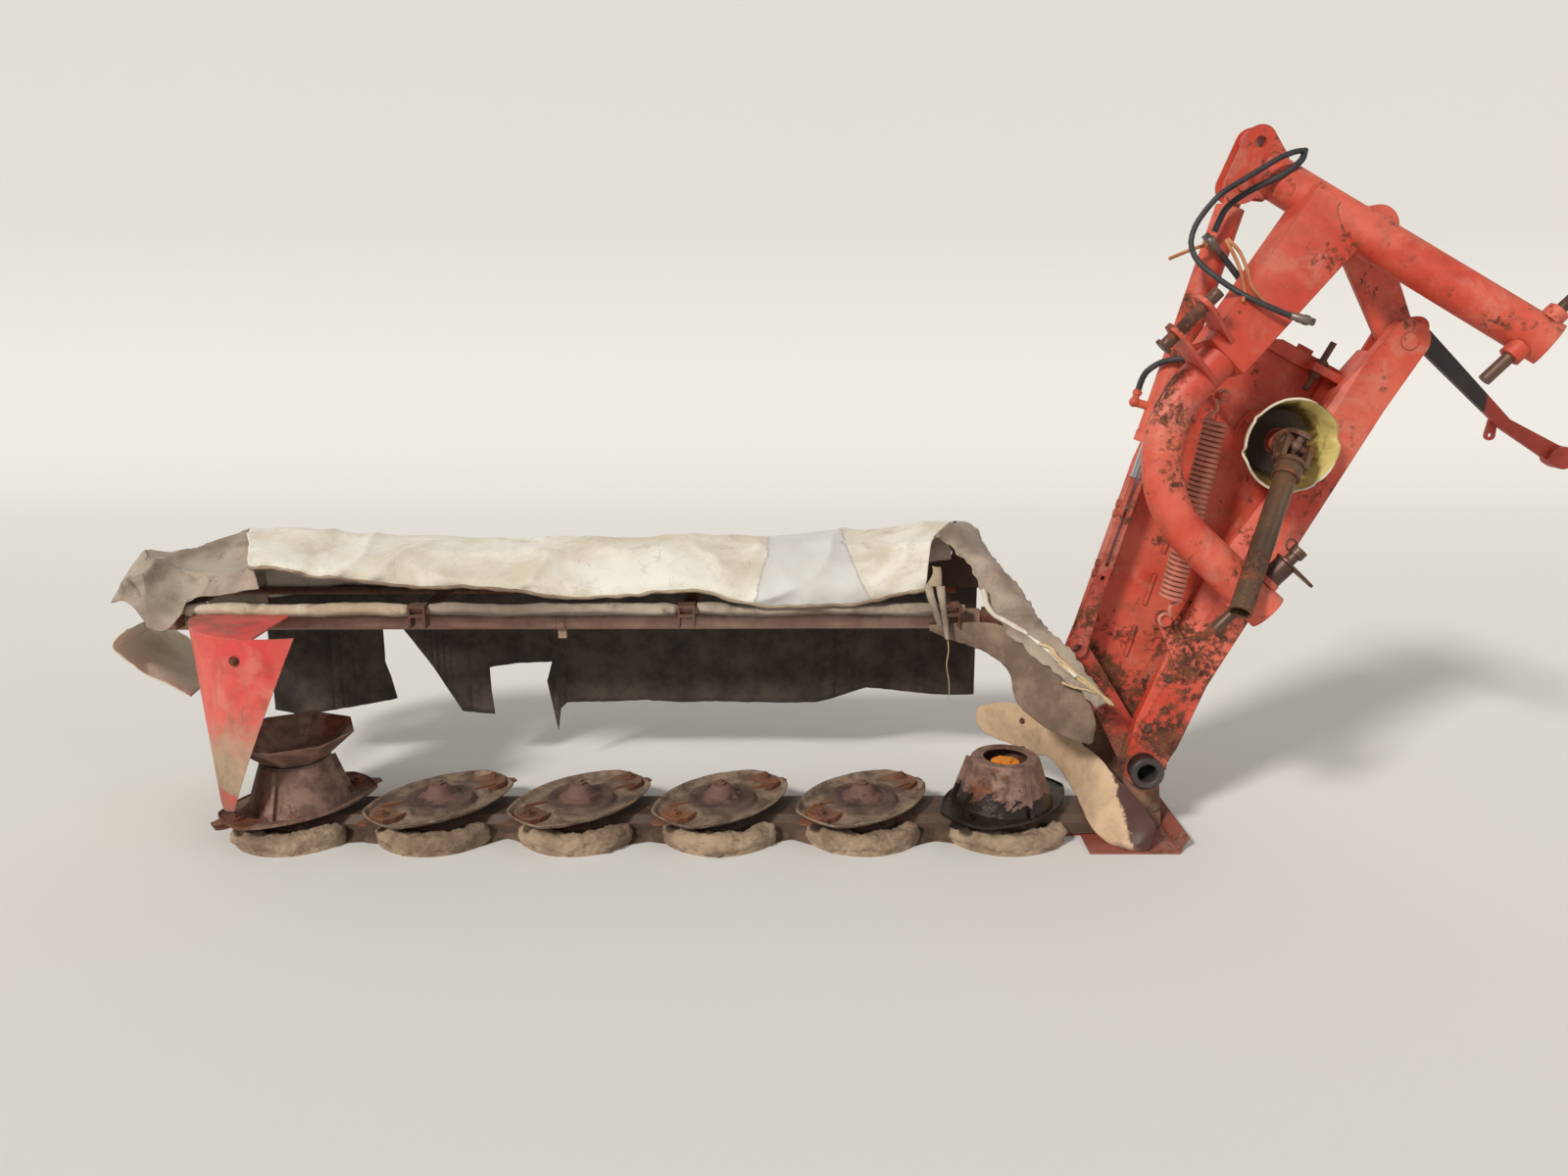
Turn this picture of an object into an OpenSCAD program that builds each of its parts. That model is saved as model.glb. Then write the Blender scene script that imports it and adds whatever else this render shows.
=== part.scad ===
// Six-disc rear-mounted disc mower, parked on its cutterbar with the carrying arm folded up.
// Millimetres. +Z up, +X from the outer end to the tractor end, -Y the side that faces the tractor.

/* [Cutterbar] */
// Distance between neighbouring disc axles
pitch = 400; // [395:1:430]
// Height of the gear bar's underside above the ground
bar_bottom = 12; // [10:1:16]
// Height of the gear bar
bar_h = 50; // [44:1:54]
// Front face of the gear bar, ahead of the disc axles
bar_front = 60; // [50:1:65]
// Back face of the gear bar, behind the disc axles
bar_back = 110; // [90:1:120]
// Radius of the round gear well under each disc
well_r = 112; // [100:1:116]
// Radius of the turret that carries each disc
turret_r = 66; // [55:1:72]
// Outer radius of the skid ring in front of each disc
skid_r = 180; // [176:1:186]
// Width of the skid ring's section
skid_w = 50; // [44:1:54]

/* [Discs] */
// Longest reach of a disc, across its two knife seats
disc_long = 424; // [400:2:428]
// Shortest width of a disc
disc_short = 296; // [280:2:300]
// Thickness of the disc plate
disc_t = 4; // [3:0.5:6]
// Height of the disc plate above the ground
rim_z = 86; // [84:1:92]
// Height of the turned-up rim
rim_h = 8; // [6:0.5:10]
// Radius at which the knives are bolted
knife_bolt_r = 178; // [170:1:182]
// Radius swept by the knife tips
knife_tip_r = 240; // [225:1:242]
// Width of a knife
knife_w = 44; // [36:1:50]
// Angle of the knives in plan as parked
disc_angle = 47; // [40:1:50]
// Radius at the foot of a crop drum
drum_r1 = 138; // [125:1:142]
// Radius at the top of a crop drum
drum_r2 = 96; // [88:1:104]
// Height of the top of a crop drum above the ground
drum_top = 219; // [205:1:230]
// Radius of the opening in the top of the inner drum
drum_hole_r = 62; // [56:1:66]

/* [Guard frame] */
// Outer radius of the main guard tube
guard_r = 29; // [25:0.5:32]
// Distance of the main guard tube behind the disc axles
guard_y = 180; // [176:1:190]
// Height of the main guard tube's axis
guard_z = 571; // [560:1:590]
// Height of the outer sheet cone
cone_h = 470; // [450:5:480]
// Radius of the outer sheet cone at its top
cone_r = 315; // [305:1:320]

/* [Carrying arm] */
// Distance of the arm hinge from the inner disc axle
hinge_x = 369; // [365:1:380]
// Height of the arm hinge above the ground
hinge_z = 208; // [205:1:215]
// Angle of the arm above the ground as parked
arm_angle = 62.6; // [60:0.1:65]
// Length of the arm from its hinge to the headstock pivot
arm_len = 1296; // [1280:1:1310]
// Outer radius of the hinge ring
ring_r = 55; // [50:1:58]
// Inner radius of the hinge ring
ring_bore = 33; // [30:0.5:36]
// Thickness of the front channel of the arm
beam_t = 38; // [34:1:40]
// Place of the drive input along the arm
input_along = 929; // [920:1:935]
// Place of the drive input across the arm
input_off = 159; // [155:1:165]
// Radius of the mouth of the drive guard cone
shield_r = 118; // [108:1:120]
// Outer radius of the balance spring
spring_r = 30; // [26:0.5:32]

/* [Headstock] */
// Angle of the headstock's lower-link line above the ground as parked
head_angle = 46.3; // [45:0.1:48]
// Distance between the lower-link pins
link_span = 825; // [820:1:830]
// Height of the top-link pin above the lower-link pins
mast_h = 600; // [590:1:610]
// Distance of the link pins ahead of the disc axles
pin_y = 300; // [295:1:305]
// Outer radius of the mast tube
mast_r = 52; // [46:1:54]
// Outer radius of the curved leg
leg_r = 49; // [46:1:54]
// Bend radius of the curved leg
leg_bend = 280; // [270:1:290]
// Radius of the free ends of the link pins
pin_r = 14; // [11:0.5:15]

/* [Lift cylinder and drive] */
// Outer radius of the cylinder barrel
barrel_r = 36; // [32:0.5:38]
// Length of the cylinder barrel
barrel_len = 612; // [600:1:620]
// Radius of the chromed rod
rod_r = 14; // [12:0.5:15]
// Outer radius of the drive half-shaft
shaft_r = 27; // [24:0.5:28]
// Length of the drive half-shaft from its joint
shaft_len = 485; // [440:1:490]

/* [Hidden] */
$fn = 64;

stations = 6;
seat = 0.3;
run_gap = 0.08;
hinge_r = ring_bore - seat;
row_len = pitch * (stations - 1);
bar_top = bar_bottom + bar_h;
turret_z = bar_top + 12;
skid_in = skid_r - skid_w;
inner_end = 300;
floor_half = 60;
// Where the finished model's lowest middle point lies in the working frame
mid_x = -533;
mid_y = 15.5;

// Layers of the arm from front to back
beam_y = -50;
beam_back = beam_y + beam_t;
web_back = 45;
cover_back = 165;
knuckle_y0 = -6;
knuckle_y1 = 40;

function station_x(n) = -pitch * (stations - n);
function dir(a) = [cos(a), 0, sin(a)];
function arm_point(along, off) = [hinge_x + along * cos(arm_angle) - off * sin(arm_angle),
                                  hinge_z + along * sin(arm_angle) + off * cos(arm_angle)];

// The left lower-link pin is placed from the arm's pivot, through the headstock's own sizes
pivot_lat = 711;
pivot_up = 97;
pivot_at = arm_point(arm_len, 0);
pin_a = [pivot_at[0] - pivot_lat * cos(head_angle) + pivot_up * sin(head_angle),
         pivot_at[1] - pivot_lat * sin(head_angle) - pivot_up * cos(head_angle)];
function head_point(lat, up) = [pin_a[0] + lat * cos(head_angle) - up * sin(head_angle),
                                pin_a[1] + lat * sin(head_angle) + up * cos(head_angle)];

// Cylinder: upper eye on the headstock, lower eye over the lifting lever
eye_lat = 673;
eye_up = 682;
cyl_top = head_point(eye_lat, eye_up);
lever_eye = [181, 538];
cyl_vec = lever_eye - cyl_top;
cyl_len = norm(cyl_vec);
cyl_angle = atan2(cyl_vec[1], cyl_vec[0]);

// Drive joint and the direction in which the half-shaft hangs
input_at = arm_point(input_along, input_off);
joint_y = -165;
shaft_dir = [-0.416, -0.534, -0.7355];
cross_angle = atan2(0.7355, 0.416);

module place() {
    translate([-mid_x, -mid_y, 0]) children();
}

module at_station(n) {
    translate([station_x(n), 0, 0]) children();
}

module in_arm() {
    translate([hinge_x, 0, hinge_z]) rotate([0, -arm_angle, 0]) children();
}

module in_head() {
    translate([pin_a[0], 0, pin_a[1]]) rotate([0, -head_angle, 0]) children();
}

module in_cylinder() {
    translate([cyl_top[0], 0, cyl_top[1]]) rotate([0, -cyl_angle, 0]) children();
}

// A flat outline in (x, z), extruded along Y from y0 to y1
module y_plate(y0, y1) {
    translate([0, y1, 0]) rotate([90, 0, 0]) linear_extrude(y1 - y0) children();
}

// A flat outline in (y, z), extruded along X from x0 to x1
module x_plate(x0, x1) {
    translate([x0, 0, 0]) rotate([90, 0, 90]) linear_extrude(x1 - x0) children();
}

module y_rod(r, y0, y1) {
    translate([0, y1, 0]) rotate([90, 0, 0]) cylinder(r = r, h = y1 - y0);
}

module x_rod(r, x0, x1) {
    translate([x0, 0, 0]) rotate([0, 90, 0]) cylinder(r = r, h = x1 - x0);
}

module rod_between(p, q, r) {
    d = q - p;
    translate(p) rotate([0, acos(d[2] / norm(d)), atan2(d[1], d[0])]) cylinder(r = r, h = norm(d));
}

module dot(p, r) {
    translate(p) circle(r = r);
}

// Two discs joined by their outer tangents
module link2d(a, ra, b, rb) {
    d = b - a;
    len = norm(d);
    base = atan2(d[1], d[0]);
    lean = acos((ra - rb) / len);
    function rim(c, r, s) = c + r * [cos(base + s * lean), sin(base + s * lean)];
    dot(a, ra);
    dot(b, rb);
    polygon([rim(a, ra, 1), rim(a, ra, -1), rim(b, rb, -1), rim(b, rb, 1)]);
}

module hex_head(r, h) {
    cylinder(r = r, h = h, $fn = 6);
}

// Cutterbar

module gear_bar() color("saddlebrown") place() {
    end_x = station_x(1) - 40;
    difference() {
        union() {
            x_plate(end_x, inner_end) polygon([
                [-bar_front, bar_bottom], [bar_back, bar_bottom], [bar_back, bar_top - 18],
                [bar_back - 26, bar_top], [-bar_front + 20, bar_top], [-bar_front, bar_top - 20]]);
            for (n = [1:stations]) at_station(n) {
                translate([0, 0, bar_bottom]) cylinder(r = well_r, h = bar_h - 14);
                translate([0, 0, bar_top - 14]) cylinder(r1 = well_r, r2 = well_r - 18, h = 14);
                translate([0, 0, bar_top]) cylinder(r1 = turret_r + 12, r2 = turret_r, h = turret_z - bar_top);
            }
        }
        // Scallops between the wells, where the bar's flanges are narrow
        for (n = [1:stations - 1]) translate([station_x(n) + pitch / 2, bar_back + 60, 0])
            cylinder(r = 80, h = 2 * bar_top);
    }
}

module skid_shoe() {
    difference() {
        union() {
            rotate([0, 0, 210]) rotate_extrude(angle = 120) translate([skid_in + skid_w / 2, 0]) {
                translate([0, skid_w / 2]) circle(d = skid_w);
                translate([-skid_w / 2, 0]) square([skid_w, skid_w / 2]);
            }
            x_plate(-88, 88) polygon([
                [-skid_in - 6, 0], [bar_back + 12, 0], [bar_back + 76, 40], [bar_back + 70, 49],
                [bar_back + 6, bar_bottom - seat], [-skid_in - 6, bar_bottom - seat]]);
        }
        for (x = [-55, 55]) translate([x, 95, -1]) cylinder(r = 7, h = bar_bottom + 2);
    }
}

module skid_shoes() color("peru") place() {
    for (n = [1:stations]) at_station(n) skid_shoe();
}

// Inner shoe with its turned-up toe
shoe_t = 8;
module inner_shoe() color("firebrick") place() {
    difference() {
        y_plate(-165, 190) polygon([
            [130, 0], [452, 0], [490, 30], [486, 37], [449, shoe_t], [130, shoe_t]]);
        translate([100, -200, -1]) rotate([0, 0, 0]) cube([110, 150, 60]);
        translate([512, -190, -1]) cylinder(r = 62, h = 60);
        translate([100, 60, -1]) cube([120, 180, 60]);
    }
}

// Sheet that steers the crop away from the arm, standing on the shoe and passing behind the drum
deflector_from = [430, -120];
deflector_to = [0, 290];
module inner_deflector() color("tan") place() {
    run = deflector_to - deflector_from;
    translate([deflector_from[0], deflector_from[1], 0]) rotate([0, 0, atan2(run[1], run[0])])
        y_plate(-4, 0) {
            polygon([
                [16, shoe_t + seat], [150, shoe_t + seat], [168, bar_top + seat], [300, bar_top + seat],
                [363, 160], [465, 166], [579, 178], [600, 226], [540, 292], [472, 298], [412, 252],
                [330, 236], [268, 204], [238, 190], [182, 165], [97, 114], [14, 50]]);
            dot([592, 232], 46);
            dot([520, 236], 60);
        }
}

// Arm hinge: a knuckle and a rear plate on the inner end of the bar
module hinge_bracket() color("maroon") place() {
    difference() {
        union() {
            y_plate(knuckle_y0, knuckle_y1) {
                polygon([[338, shoe_t], [448, shoe_t], [436, 130], [415, 214], [323, 214], [338, 120]]);
                dot([hinge_x, hinge_z], 48);
            }
            y_plate(cover_back + 7, cover_back + 23) {
                polygon([[305, shoe_t], [448, shoe_t], [436, 130], [415, 214], [323, 214], [305, 120]]);
                dot([hinge_x, hinge_z], 48);
            }
            translate([338, knuckle_y0, shoe_t]) cube([110, cover_back + 20, 14]);
            translate([inner_end, 0, shoe_t]) cube([60, 108, 26]);
        }
        translate([hinge_x, 0, hinge_z]) y_rod(ring_bore, -200, 300);
    }
}

// Hollow pin of the arm hinge, open at the front
module hinge_tube() color("dimgray") place() {
    translate([hinge_x, 0, hinge_z]) difference() {
        union() {
            y_rod(hinge_r, beam_y - 6, cover_back + 30);
            y_rod(ring_bore + 9, cover_back + 23, cover_back + 30);
        }
        y_rod(ring_bore - 7, beam_y - 10, cover_back + 40);
    }
}

// Lifting lever, welded on the knuckle, with the post that holds the inner flap
module lift_lever() color("maroon") place() {
    difference() {
        union() {
            y_plate(-6, 6) link2d([hinge_x, hinge_z], 46, lever_eye, 30);
            translate([206, -50, 395]) cube([18, 46, 40]);
            translate([190, -69.7, 288]) cube([34, 20, 156]);
        }
        translate([hinge_x, 0, hinge_z]) y_rod(48 + seat, -60, 60);
        translate([lever_eye[0], 0, lever_eye[1]]) y_rod(13, -60, 60);
    }
}

// Guard frame

guard_x0 = station_x(1) - 400;
canvas_x0 = station_x(1) - 160;
guard_x1 = -60;
bar_t = 8;
bars_z = guard_z + guard_r + seat;
rail_r = 12;
front_rail_y = 118;
rear_rail_y = 460;
canvas_z = bars_z + bar_t;
// Places of the four cross bars along the guard tube
cross_x = [station_x(1) - 356, station_x(1) + 345, station_x(4) - 95, -150];

module guard_tube() color("rosybrown") place() {
    difference() {
        translate([0, guard_y, guard_z]) x_rod(guard_r, guard_x0, guard_x1);
        translate([0, guard_y, guard_z]) x_rod(guard_r - 4, guard_x0 - 1, guard_x1 + 1);
    }
    // Strap clip with its bolt
    translate([-1275, guard_y, guard_z]) difference() {
        union() {
            x_rod(guard_r + 3, 0, 24);
            translate([0, -9, -guard_r - 26]) cube([24, 18, 26]);
        }
        x_rod(guard_r, -1, 25);
    }
}

// Post that carries the guard tube from the hinge bracket
module guard_post() color("sienna") place() {
    y_plate(cover_back + 23 + seat, cover_back + 37) {
        polygon([[330, 30], [430, 30], [430, 130], [330, 150], [40, 600], [-50, 600], [-50, 545], [20, 520],
                 [250, 150]]);
    }
    translate([0, guard_y, guard_z]) x_rod(guard_r - 4 - seat, guard_x1 - 60, 10);
}

module cross_bar() {
    difference() {
        union() {
            translate([-20, front_rail_y - 30, bars_z]) cube([40, rear_rail_y - front_rail_y + 44 - seat, bar_t]);
            translate([-24, front_rail_y - 30, bars_z - 32]) cube([6, 44, 66]);
            translate([18, front_rail_y - 30, bars_z - 32]) cube([6, 44, 66]);
            translate([-24, front_rail_y - 30, bars_z + 26]) cube([48, 44, bar_t]);
        }
        translate([0, front_rail_y, bars_z + 16]) x_rod(rail_r + seat, -60, 60);
    }
}

module cross_bars() color("saddlebrown") place() {
    for (x = cross_x) translate([x, 0, 0]) cross_bar();
}

module front_rail() color("antiquewhite") place() {
    translate([0, front_rail_y, bars_z + 16]) x_rod(rail_r, guard_x0 + 10, -110);
}

module rear_rail() color("sienna") place() {
    translate([0, rear_rail_y, bars_z - rail_r - seat]) x_rod(rail_r, guard_x0 + 10, -90);
}

// Sheet cone over the outer drum: a leaning half cone cut to a point, closed by a flat top
cone_z = 130;
cone_top = guard_z + guard_r + 4 + seat;
cone_lean = 19;
module cone_solid(shrink) {
    slant = cone_h / cos(cone_lean);
    translate([station_x(1), 0, cone_z]) rotate([-cone_lean, 0, 0]) translate([0, 0, -60])
        cylinder(r1 = 192 - shrink, r2 = cone_r + 12 - shrink, h = slant + 160);
}

module outer_cone() color("lightcoral") place() {
    wall = 3;
    difference() {
        intersection() {
            difference() {
                cone_solid(0);
                cone_solid(wall);
            }
            y_plate(-400, 120) polygon([
                [station_x(1) - 330, cone_top], [station_x(1) + 88, cone_top],
                [station_x(1) - 104, cone_z + 2], [station_x(1) - 150, cone_z - 12],
                [station_x(1) - 180, cone_z + 4], [station_x(1) - 330, cone_top - 120]]);
            translate([station_x(1) - 400, -400, 0]) cube([900, 500, cone_top]);
        }
        translate([station_x(1) - 70, 0, cone_top - 58]) y_rod(9, -300, 0);
    }
    intersection() {
        cone_solid(wall + 0.02);
        translate([station_x(1) - 400, -400, cone_top - 4]) cube([380, 400 + guard_y, 4]);
    }
}

// Canvas and rubber: plain closed solids of the right size and place

// Closed strip of thickness t through rows of paired edge points
module ribbon(rows, t) {
    n = len(rows);
    lift = [for (i = [0:n - 1]) let (
        ahead = rows[min(i + 1, n - 1)][0] - rows[max(i - 1, 0)][0],
        side = cross(ahead, rows[i][1] - rows[i][0])) t * side / norm(side)];
    points = [for (i = [0:n - 1]) each [rows[i][0], rows[i][1], rows[i][1] + lift[i], rows[i][0] + lift[i]]];
    walls = [for (i = [0:n - 2], k = [0:3]) let (m = (k + 1) % 4, a = 4 * i, b = 4 * i + 4)
        each [[a + k, b + m, a + m], [a + k, b + k, b + m]]];
    ends = [[0, 1, 2], [0, 2, 3], [4 * n - 4, 4 * n - 2, 4 * n - 3], [4 * n - 4, 4 * n - 1, 4 * n - 2]];
    polyhedron(points, concat(walls, ends));
}

// Pairs of upper and lower edge points
FLAP = [[[-185, 149, 560], [-157, 149, 524]], [[-74, 60, 572], [-68, 60, 432]], [[19, -30, 555], [27, -30, 391]],
        [[110, -75, 430], [98, -75, 338]], [[181, -75, 352], [150, -75, 302]],
        [[222, -75, 300], [212, -75, 280]]];
module inner_flap() color("dimgray") place() {
    ribbon(FLAP, 5);
}

module canvas_top() color("beige") place() {
    x_plate(canvas_x0, -122) polygon([
        [96, 650], [101, 690], [170, 748], [275, 798], [375, 802], [448, 748], [474, 640],
        [474, canvas_z + seat], [150, canvas_z + seat], [150, 650]]);
}

module rear_curtain() color("darkslategray") place() {
    y_plate(rear_rail_y + 14, rear_rail_y + 18) polygon([
        [-2260, canvas_z], [-2260, 190], [-2090, 190], [-1864, 228], [-1895, 350], [-1893, 470],
        [-1833, 470], [-1653, 190], [-1550, 180], [-1559, 335], [-1363, 348], [-1382, 283],
        [-1351, 120], [-1341, 190], [-1059, 224], [-810, 217], [-531, 216], [-361, 262], [-129, 242],
        [-20, 240], [-20, canvas_z]]);
}

module canvas_outer() color("tan") place() {
    y_plate(30, 440) polygon([
        [canvas_x0 - seat, 790], [-2210, 790], [-2400, 722], [-2545, 640], [-2565, 560], [-2470, 450],
        [-2380, 350], [-2374, 356], [-2462, 456], [-2555, 562], [-2536, 634], [-2396, 714],
        [-2210, 780], [canvas_x0 - seat, 780]]);
}

// Pairs of front and back edge points of the fold that falls towards the arm
FOLD = [[[-121.7, 330, 792], [-121.7, 398, 782]], [[-60, 190, 772], [-40, 250, 762]], [[30, -5, 716], [52, 30, 690]],
        [[98, -82, 618], [112, -62, 590]], [[168, -98, 520], [184, -90, 492]], [[240, -108, 424], [254, -104, 404]]];
module canvas_inner() color("wheat") place() {
    ribbon(FOLD, 5);
}

// Rotors

module oval2d(long, short) {
    flank = 300;
    intersection() {
        circle(d = long);
        translate([0, flank - short / 2]) circle(r = flank);
        translate([0, short / 2 - flank]) circle(r = flank);
    }
}

// Knife, its seat on the disc and its bolt, at one end of a disc
module knife_station() {
    reach = knife_tip_r - knife_bolt_r;
    translate([knife_bolt_r, 0, 0]) {
        translate([0, 0, rim_z - 4]) cylinder(r = 20, h = disc_t + 12);
        translate([0, 0, rim_z + disc_t + 8]) hex_head(13, 9);
        translate([0, 0, rim_z - 8]) rotate([0, 0, -8]) linear_extrude(4) difference() {
            polygon([[-30, -knife_w / 2 + 4], [reach - 26, -knife_w / 2], [reach - 4, -knife_w / 2 + 8],
                     [reach - 4, knife_w / 2 - 10], [reach - 20, knife_w / 2], [-30, knife_w / 2 - 4]]);
            dot([reach + 6, knife_w / 2 + 4], 14);
        }
    }
}

module disc_body() {
    difference() {
        union() {
            translate([0, 0, rim_z]) linear_extrude(disc_t) oval2d(disc_long, disc_short);
            translate([0, 0, rim_z]) linear_extrude(rim_h) difference() {
                oval2d(disc_long, disc_short);
                oval2d(disc_long - 8, disc_short - 8);
            }
            translate([0, 0, turret_z + seat]) cylinder(r = turret_r - 6, h = rim_z - turret_z - seat + 1);
            for (s = [0, 180]) rotate([0, 0, s]) knife_station();
        }
        for (s = [0, 180]) rotate([0, 0, s]) translate([96, 96, 0]) cylinder(r = 8, h = 200);
    }
}

// Pressed crown of a flat disc: an S-shaped island, a cone and the hub nut
module flat_disc() {
    disc_body();
    translate([0, 0, rim_z + disc_t]) {
        linear_extrude(7) difference() {
            union() {
                circle(r = 98);
                for (s = [0, 180]) rotate([0, 0, s]) dot([112, -12], 46);
            }
            for (s = [0, 180]) rotate([0, 0, s]) dot([104, 84], 50);
        }
        cylinder(r1 = 92, r2 = 66, h = 14);
        cylinder(r1 = 66, r2 = 26, h = 32);
        cylinder(r = 21, h = 36);
        hex_head(15, 42);
    }
}

module drum_wall() {
    wall = 4;
    rotate_extrude() polygon([
        [drum_r1, rim_z + disc_t - 1], [drum_r2, drum_top - 6], [drum_r2 - 6, drum_top],
        [drum_hole_r, drum_top], [drum_hole_r, drum_top - wall], [drum_r2 - 6 - wall, drum_top - wall],
        [drum_r1 - wall, rim_z + disc_t - 1]]);
}

module drum_fin(angle, out) {
    rotate([0, 0, angle]) y_plate(-5, 5) polygon([
        [drum_r2 - 8, drum_top - 10], [drum_r2 + out, drum_top - 4], [drum_r1 + out, rim_z + disc_t],
        [drum_r1 - 4, rim_z + disc_t]]);
}

cap_z = drum_top - 22;
module inner_drum() {
    disc_body();
    drum_wall();
    translate([0, 0, rim_z]) cylinder(r = 34, h = cap_z - rim_z);
    for (a = [172, 292, 52]) drum_fin(a - disc_angle, 12);
}

// Outer drum: the same drum under an eight-sided flared hat
hat_r = 172;
module outer_drum() {
    disc_body();
    drum_wall();
    translate([0, 0, rim_z]) cylinder(r = 34, h = drum_top - rim_z);
    translate([0, 0, drum_top - 4]) cylinder(r = drum_hole_r + 12, h = 8);
    translate([0, 0, drum_top + 3]) difference() {
        cylinder(r1 = drum_r2 - 6, r2 = hat_r, h = 72, $fn = 8);
        translate([0, 0, 4]) cylinder(r1 = drum_r2 - 10, r2 = hat_r - 4, h = 72, $fn = 8);
    }
    for (a = [262, 22, 142]) drum_fin(a - disc_angle, 10);
}

module rotor(n) color("sienna") place() at_station(n) rotate([0, 0, disc_angle]) {
    if (n == 1) outer_drum();
    else if (n == stations) inner_drum();
    else flat_disc();
}

module drum_cap() color("orange") place() at_station(stations) rotate([0, 0, disc_angle]) {
    translate([0, 0, cap_z]) {
        cylinder(r = 40, h = 6);
        cylinder(r = 20, h = 13);
        for (a = [0:60:300]) rotate([0, 0, a]) translate([14, -3, 0]) cube([22, 6, 10]);
    }
}

// Carrying arm, drawn along its own length with +Z across it

beam_end = arm_len - 6;
beam_rows = [[-10, 50], [110, 82], [300, 100], [560, 116], [800, 98], [arm_len - 166, 84], [beam_end, 52]];
module beam_outline() {
    polygon(concat(beam_rows, [[beam_end, -52], [beam_end - 170, -42], [280, -35], [90, -58], [-10, -54]]));
    circle(r = ring_r);
    dot([arm_len, 0], 54);
}

stand_at = [arm_len + 56, -45];
spring_low = [392, 178];
spring_high = [arm_len - 336, 355];
// Belt tensioner, between the drive input and the headstock's pivot
tension_gap = arm_len - input_along;
tension_at = input_along + 0.5477 * tension_gap;
tension_low = tension_at - 0.136 * tension_gap;
tension_high = tension_at + 0.234 * tension_gap;
tension_up = 140;
module main_beam() color("tomato") place() in_arm() {
    difference() {
        union() {
            difference() {
                y_plate(beam_y, beam_back) beam_outline();
                // Folded-back left edge
                x_plate(60, arm_len - 60) polygon([
                    [beam_y - 1, 66], [beam_y - 1, 140], [beam_back + 1, 140], [beam_back - 8, 118]]);
            }
            y_plate(beam_back, web_back) intersection() {
                beam_outline();
                translate([420, -34]) square([arm_len - 482, 110]);
            }
            y_plate(web_back, web_back + 14) {
                link2d([arm_len, 0], 50, stand_at, 30);
                translate([arm_len - 122, -34]) square([122, 84]);
            }
            // Spring anchor
            y_plate(-66, beam_y) dot([300, 40], 24);
            y_plate(-66, -56) link2d([300, 40], 30, spring_low, 20);
            // Block of the belt tensioner
            translate([tension_at, -4, tension_up - 80]) cube([22, 46, 102]);
        }
        y_rod(hinge_r + run_gap, -100, 100);
        translate([0, 16, tension_up]) x_rod(9, tension_low, tension_high);
    }
    // Pivot pin of the headstock, with its flush head
    translate([arm_len, 0, 0]) {
        y_rod(22, beam_y - 4, beam_y + 1);
        y_rod(20, beam_y, web_back + 14);
        y_rod(27, web_back + 14, web_back + 22);
    }
    // Pin of the parking stand, with its shoulder and its washer
    translate([stand_at[0], 0, stand_at[1]]) {
        y_rod(11 - run_gap, web_back + 10, 94);
        y_rod(18, web_back + 10, 65.5);
        y_rod(18, 84.5, 92);
    }
    translate([spring_low[0], 0, spring_low[1]]) {
        y_rod(8, -94, -60);
        translate([0, -92, 0]) rotate([90, 0, 0]) hex_head(14, 10);
    }
}

cover_end = arm_len - 128;
cover_rows = [[-66, 50], [110, 256], [190, 292], [720, 398], [cover_end - 168, 428], [cover_end - 58, 372],
              [cover_end, 250], [cover_end, 20], [cover_end - 168, -24], [200, -24], [0, -112]];
module cover_outline() {
    polygon(cover_rows);
    circle(r = 104);
}

module belt_cover() color("indianred") place() in_arm() {
    wall = 4;
    difference() {
        union() {
            difference() {
                y_plate(web_back, cover_back) cover_outline();
                y_plate(web_back + 18, cover_back - wall) offset(delta = -wall) cover_outline();
                y_plate(web_back - 1, web_back + 14) intersection() {
                    offset(delta = -14) cover_outline();
                    translate([130, 100]) square([1000, 400]);
                }
            }
            y_rod(52, web_back, cover_back);
            translate([input_along, 0, input_off]) y_rod(70, web_back, cover_back);
            // Pressed stiffening ribs on the recessed panel
            for (a = [240:150:840]) translate([a, 0, 112 + 0.2 * a]) rotate([0, -12, 0])
                translate([0, web_back + 8, 0]) cube([90, 7, 10]);
        }
        y_rod(hinge_r + run_gap, -100, 300);
    }
    // Stud that holds the upper end of the balance spring
    translate([spring_high[0], 0, spring_high[1]]) {
        y_rod(8, -94, web_back + 20);
        y_rod(16, -66, -60);
        translate([0, -92, 0]) rotate([90, 0, 0]) hex_head(14, 10);
    }
    // Ear of the cover's hinge strap at its top edge
    translate([cover_end - 48, web_back + 30, 150]) cube([64, 8, 44]);
}

// Bearing housing of the drive input, in front of the belt cover
module input_housing() color("firebrick") place() in_arm() translate([input_along, 0, input_off]) {
    y_rod(62, beam_y + 2, web_back);
    y_rod(78, 20, web_back - 1);
    y_rod(30, -118, beam_y + 6);
    for (a = [30:60:330]) rotate([0, a, 0]) translate([70, 0, 0]) y_rod(6, 13, 24);
}

module drive_shield() color("khaki") place() in_arm() translate([input_along, 0, input_off]) {
    wall = 4;
    rotate([90, 0, 0]) rotate_extrude() polygon([
        [34, 48 + seat], [86, 48 + seat], [shield_r, 150], [shield_r - wall, 150],
        [86 - wall, 48 + wall], [34, 48 + wall]]);
}

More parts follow.
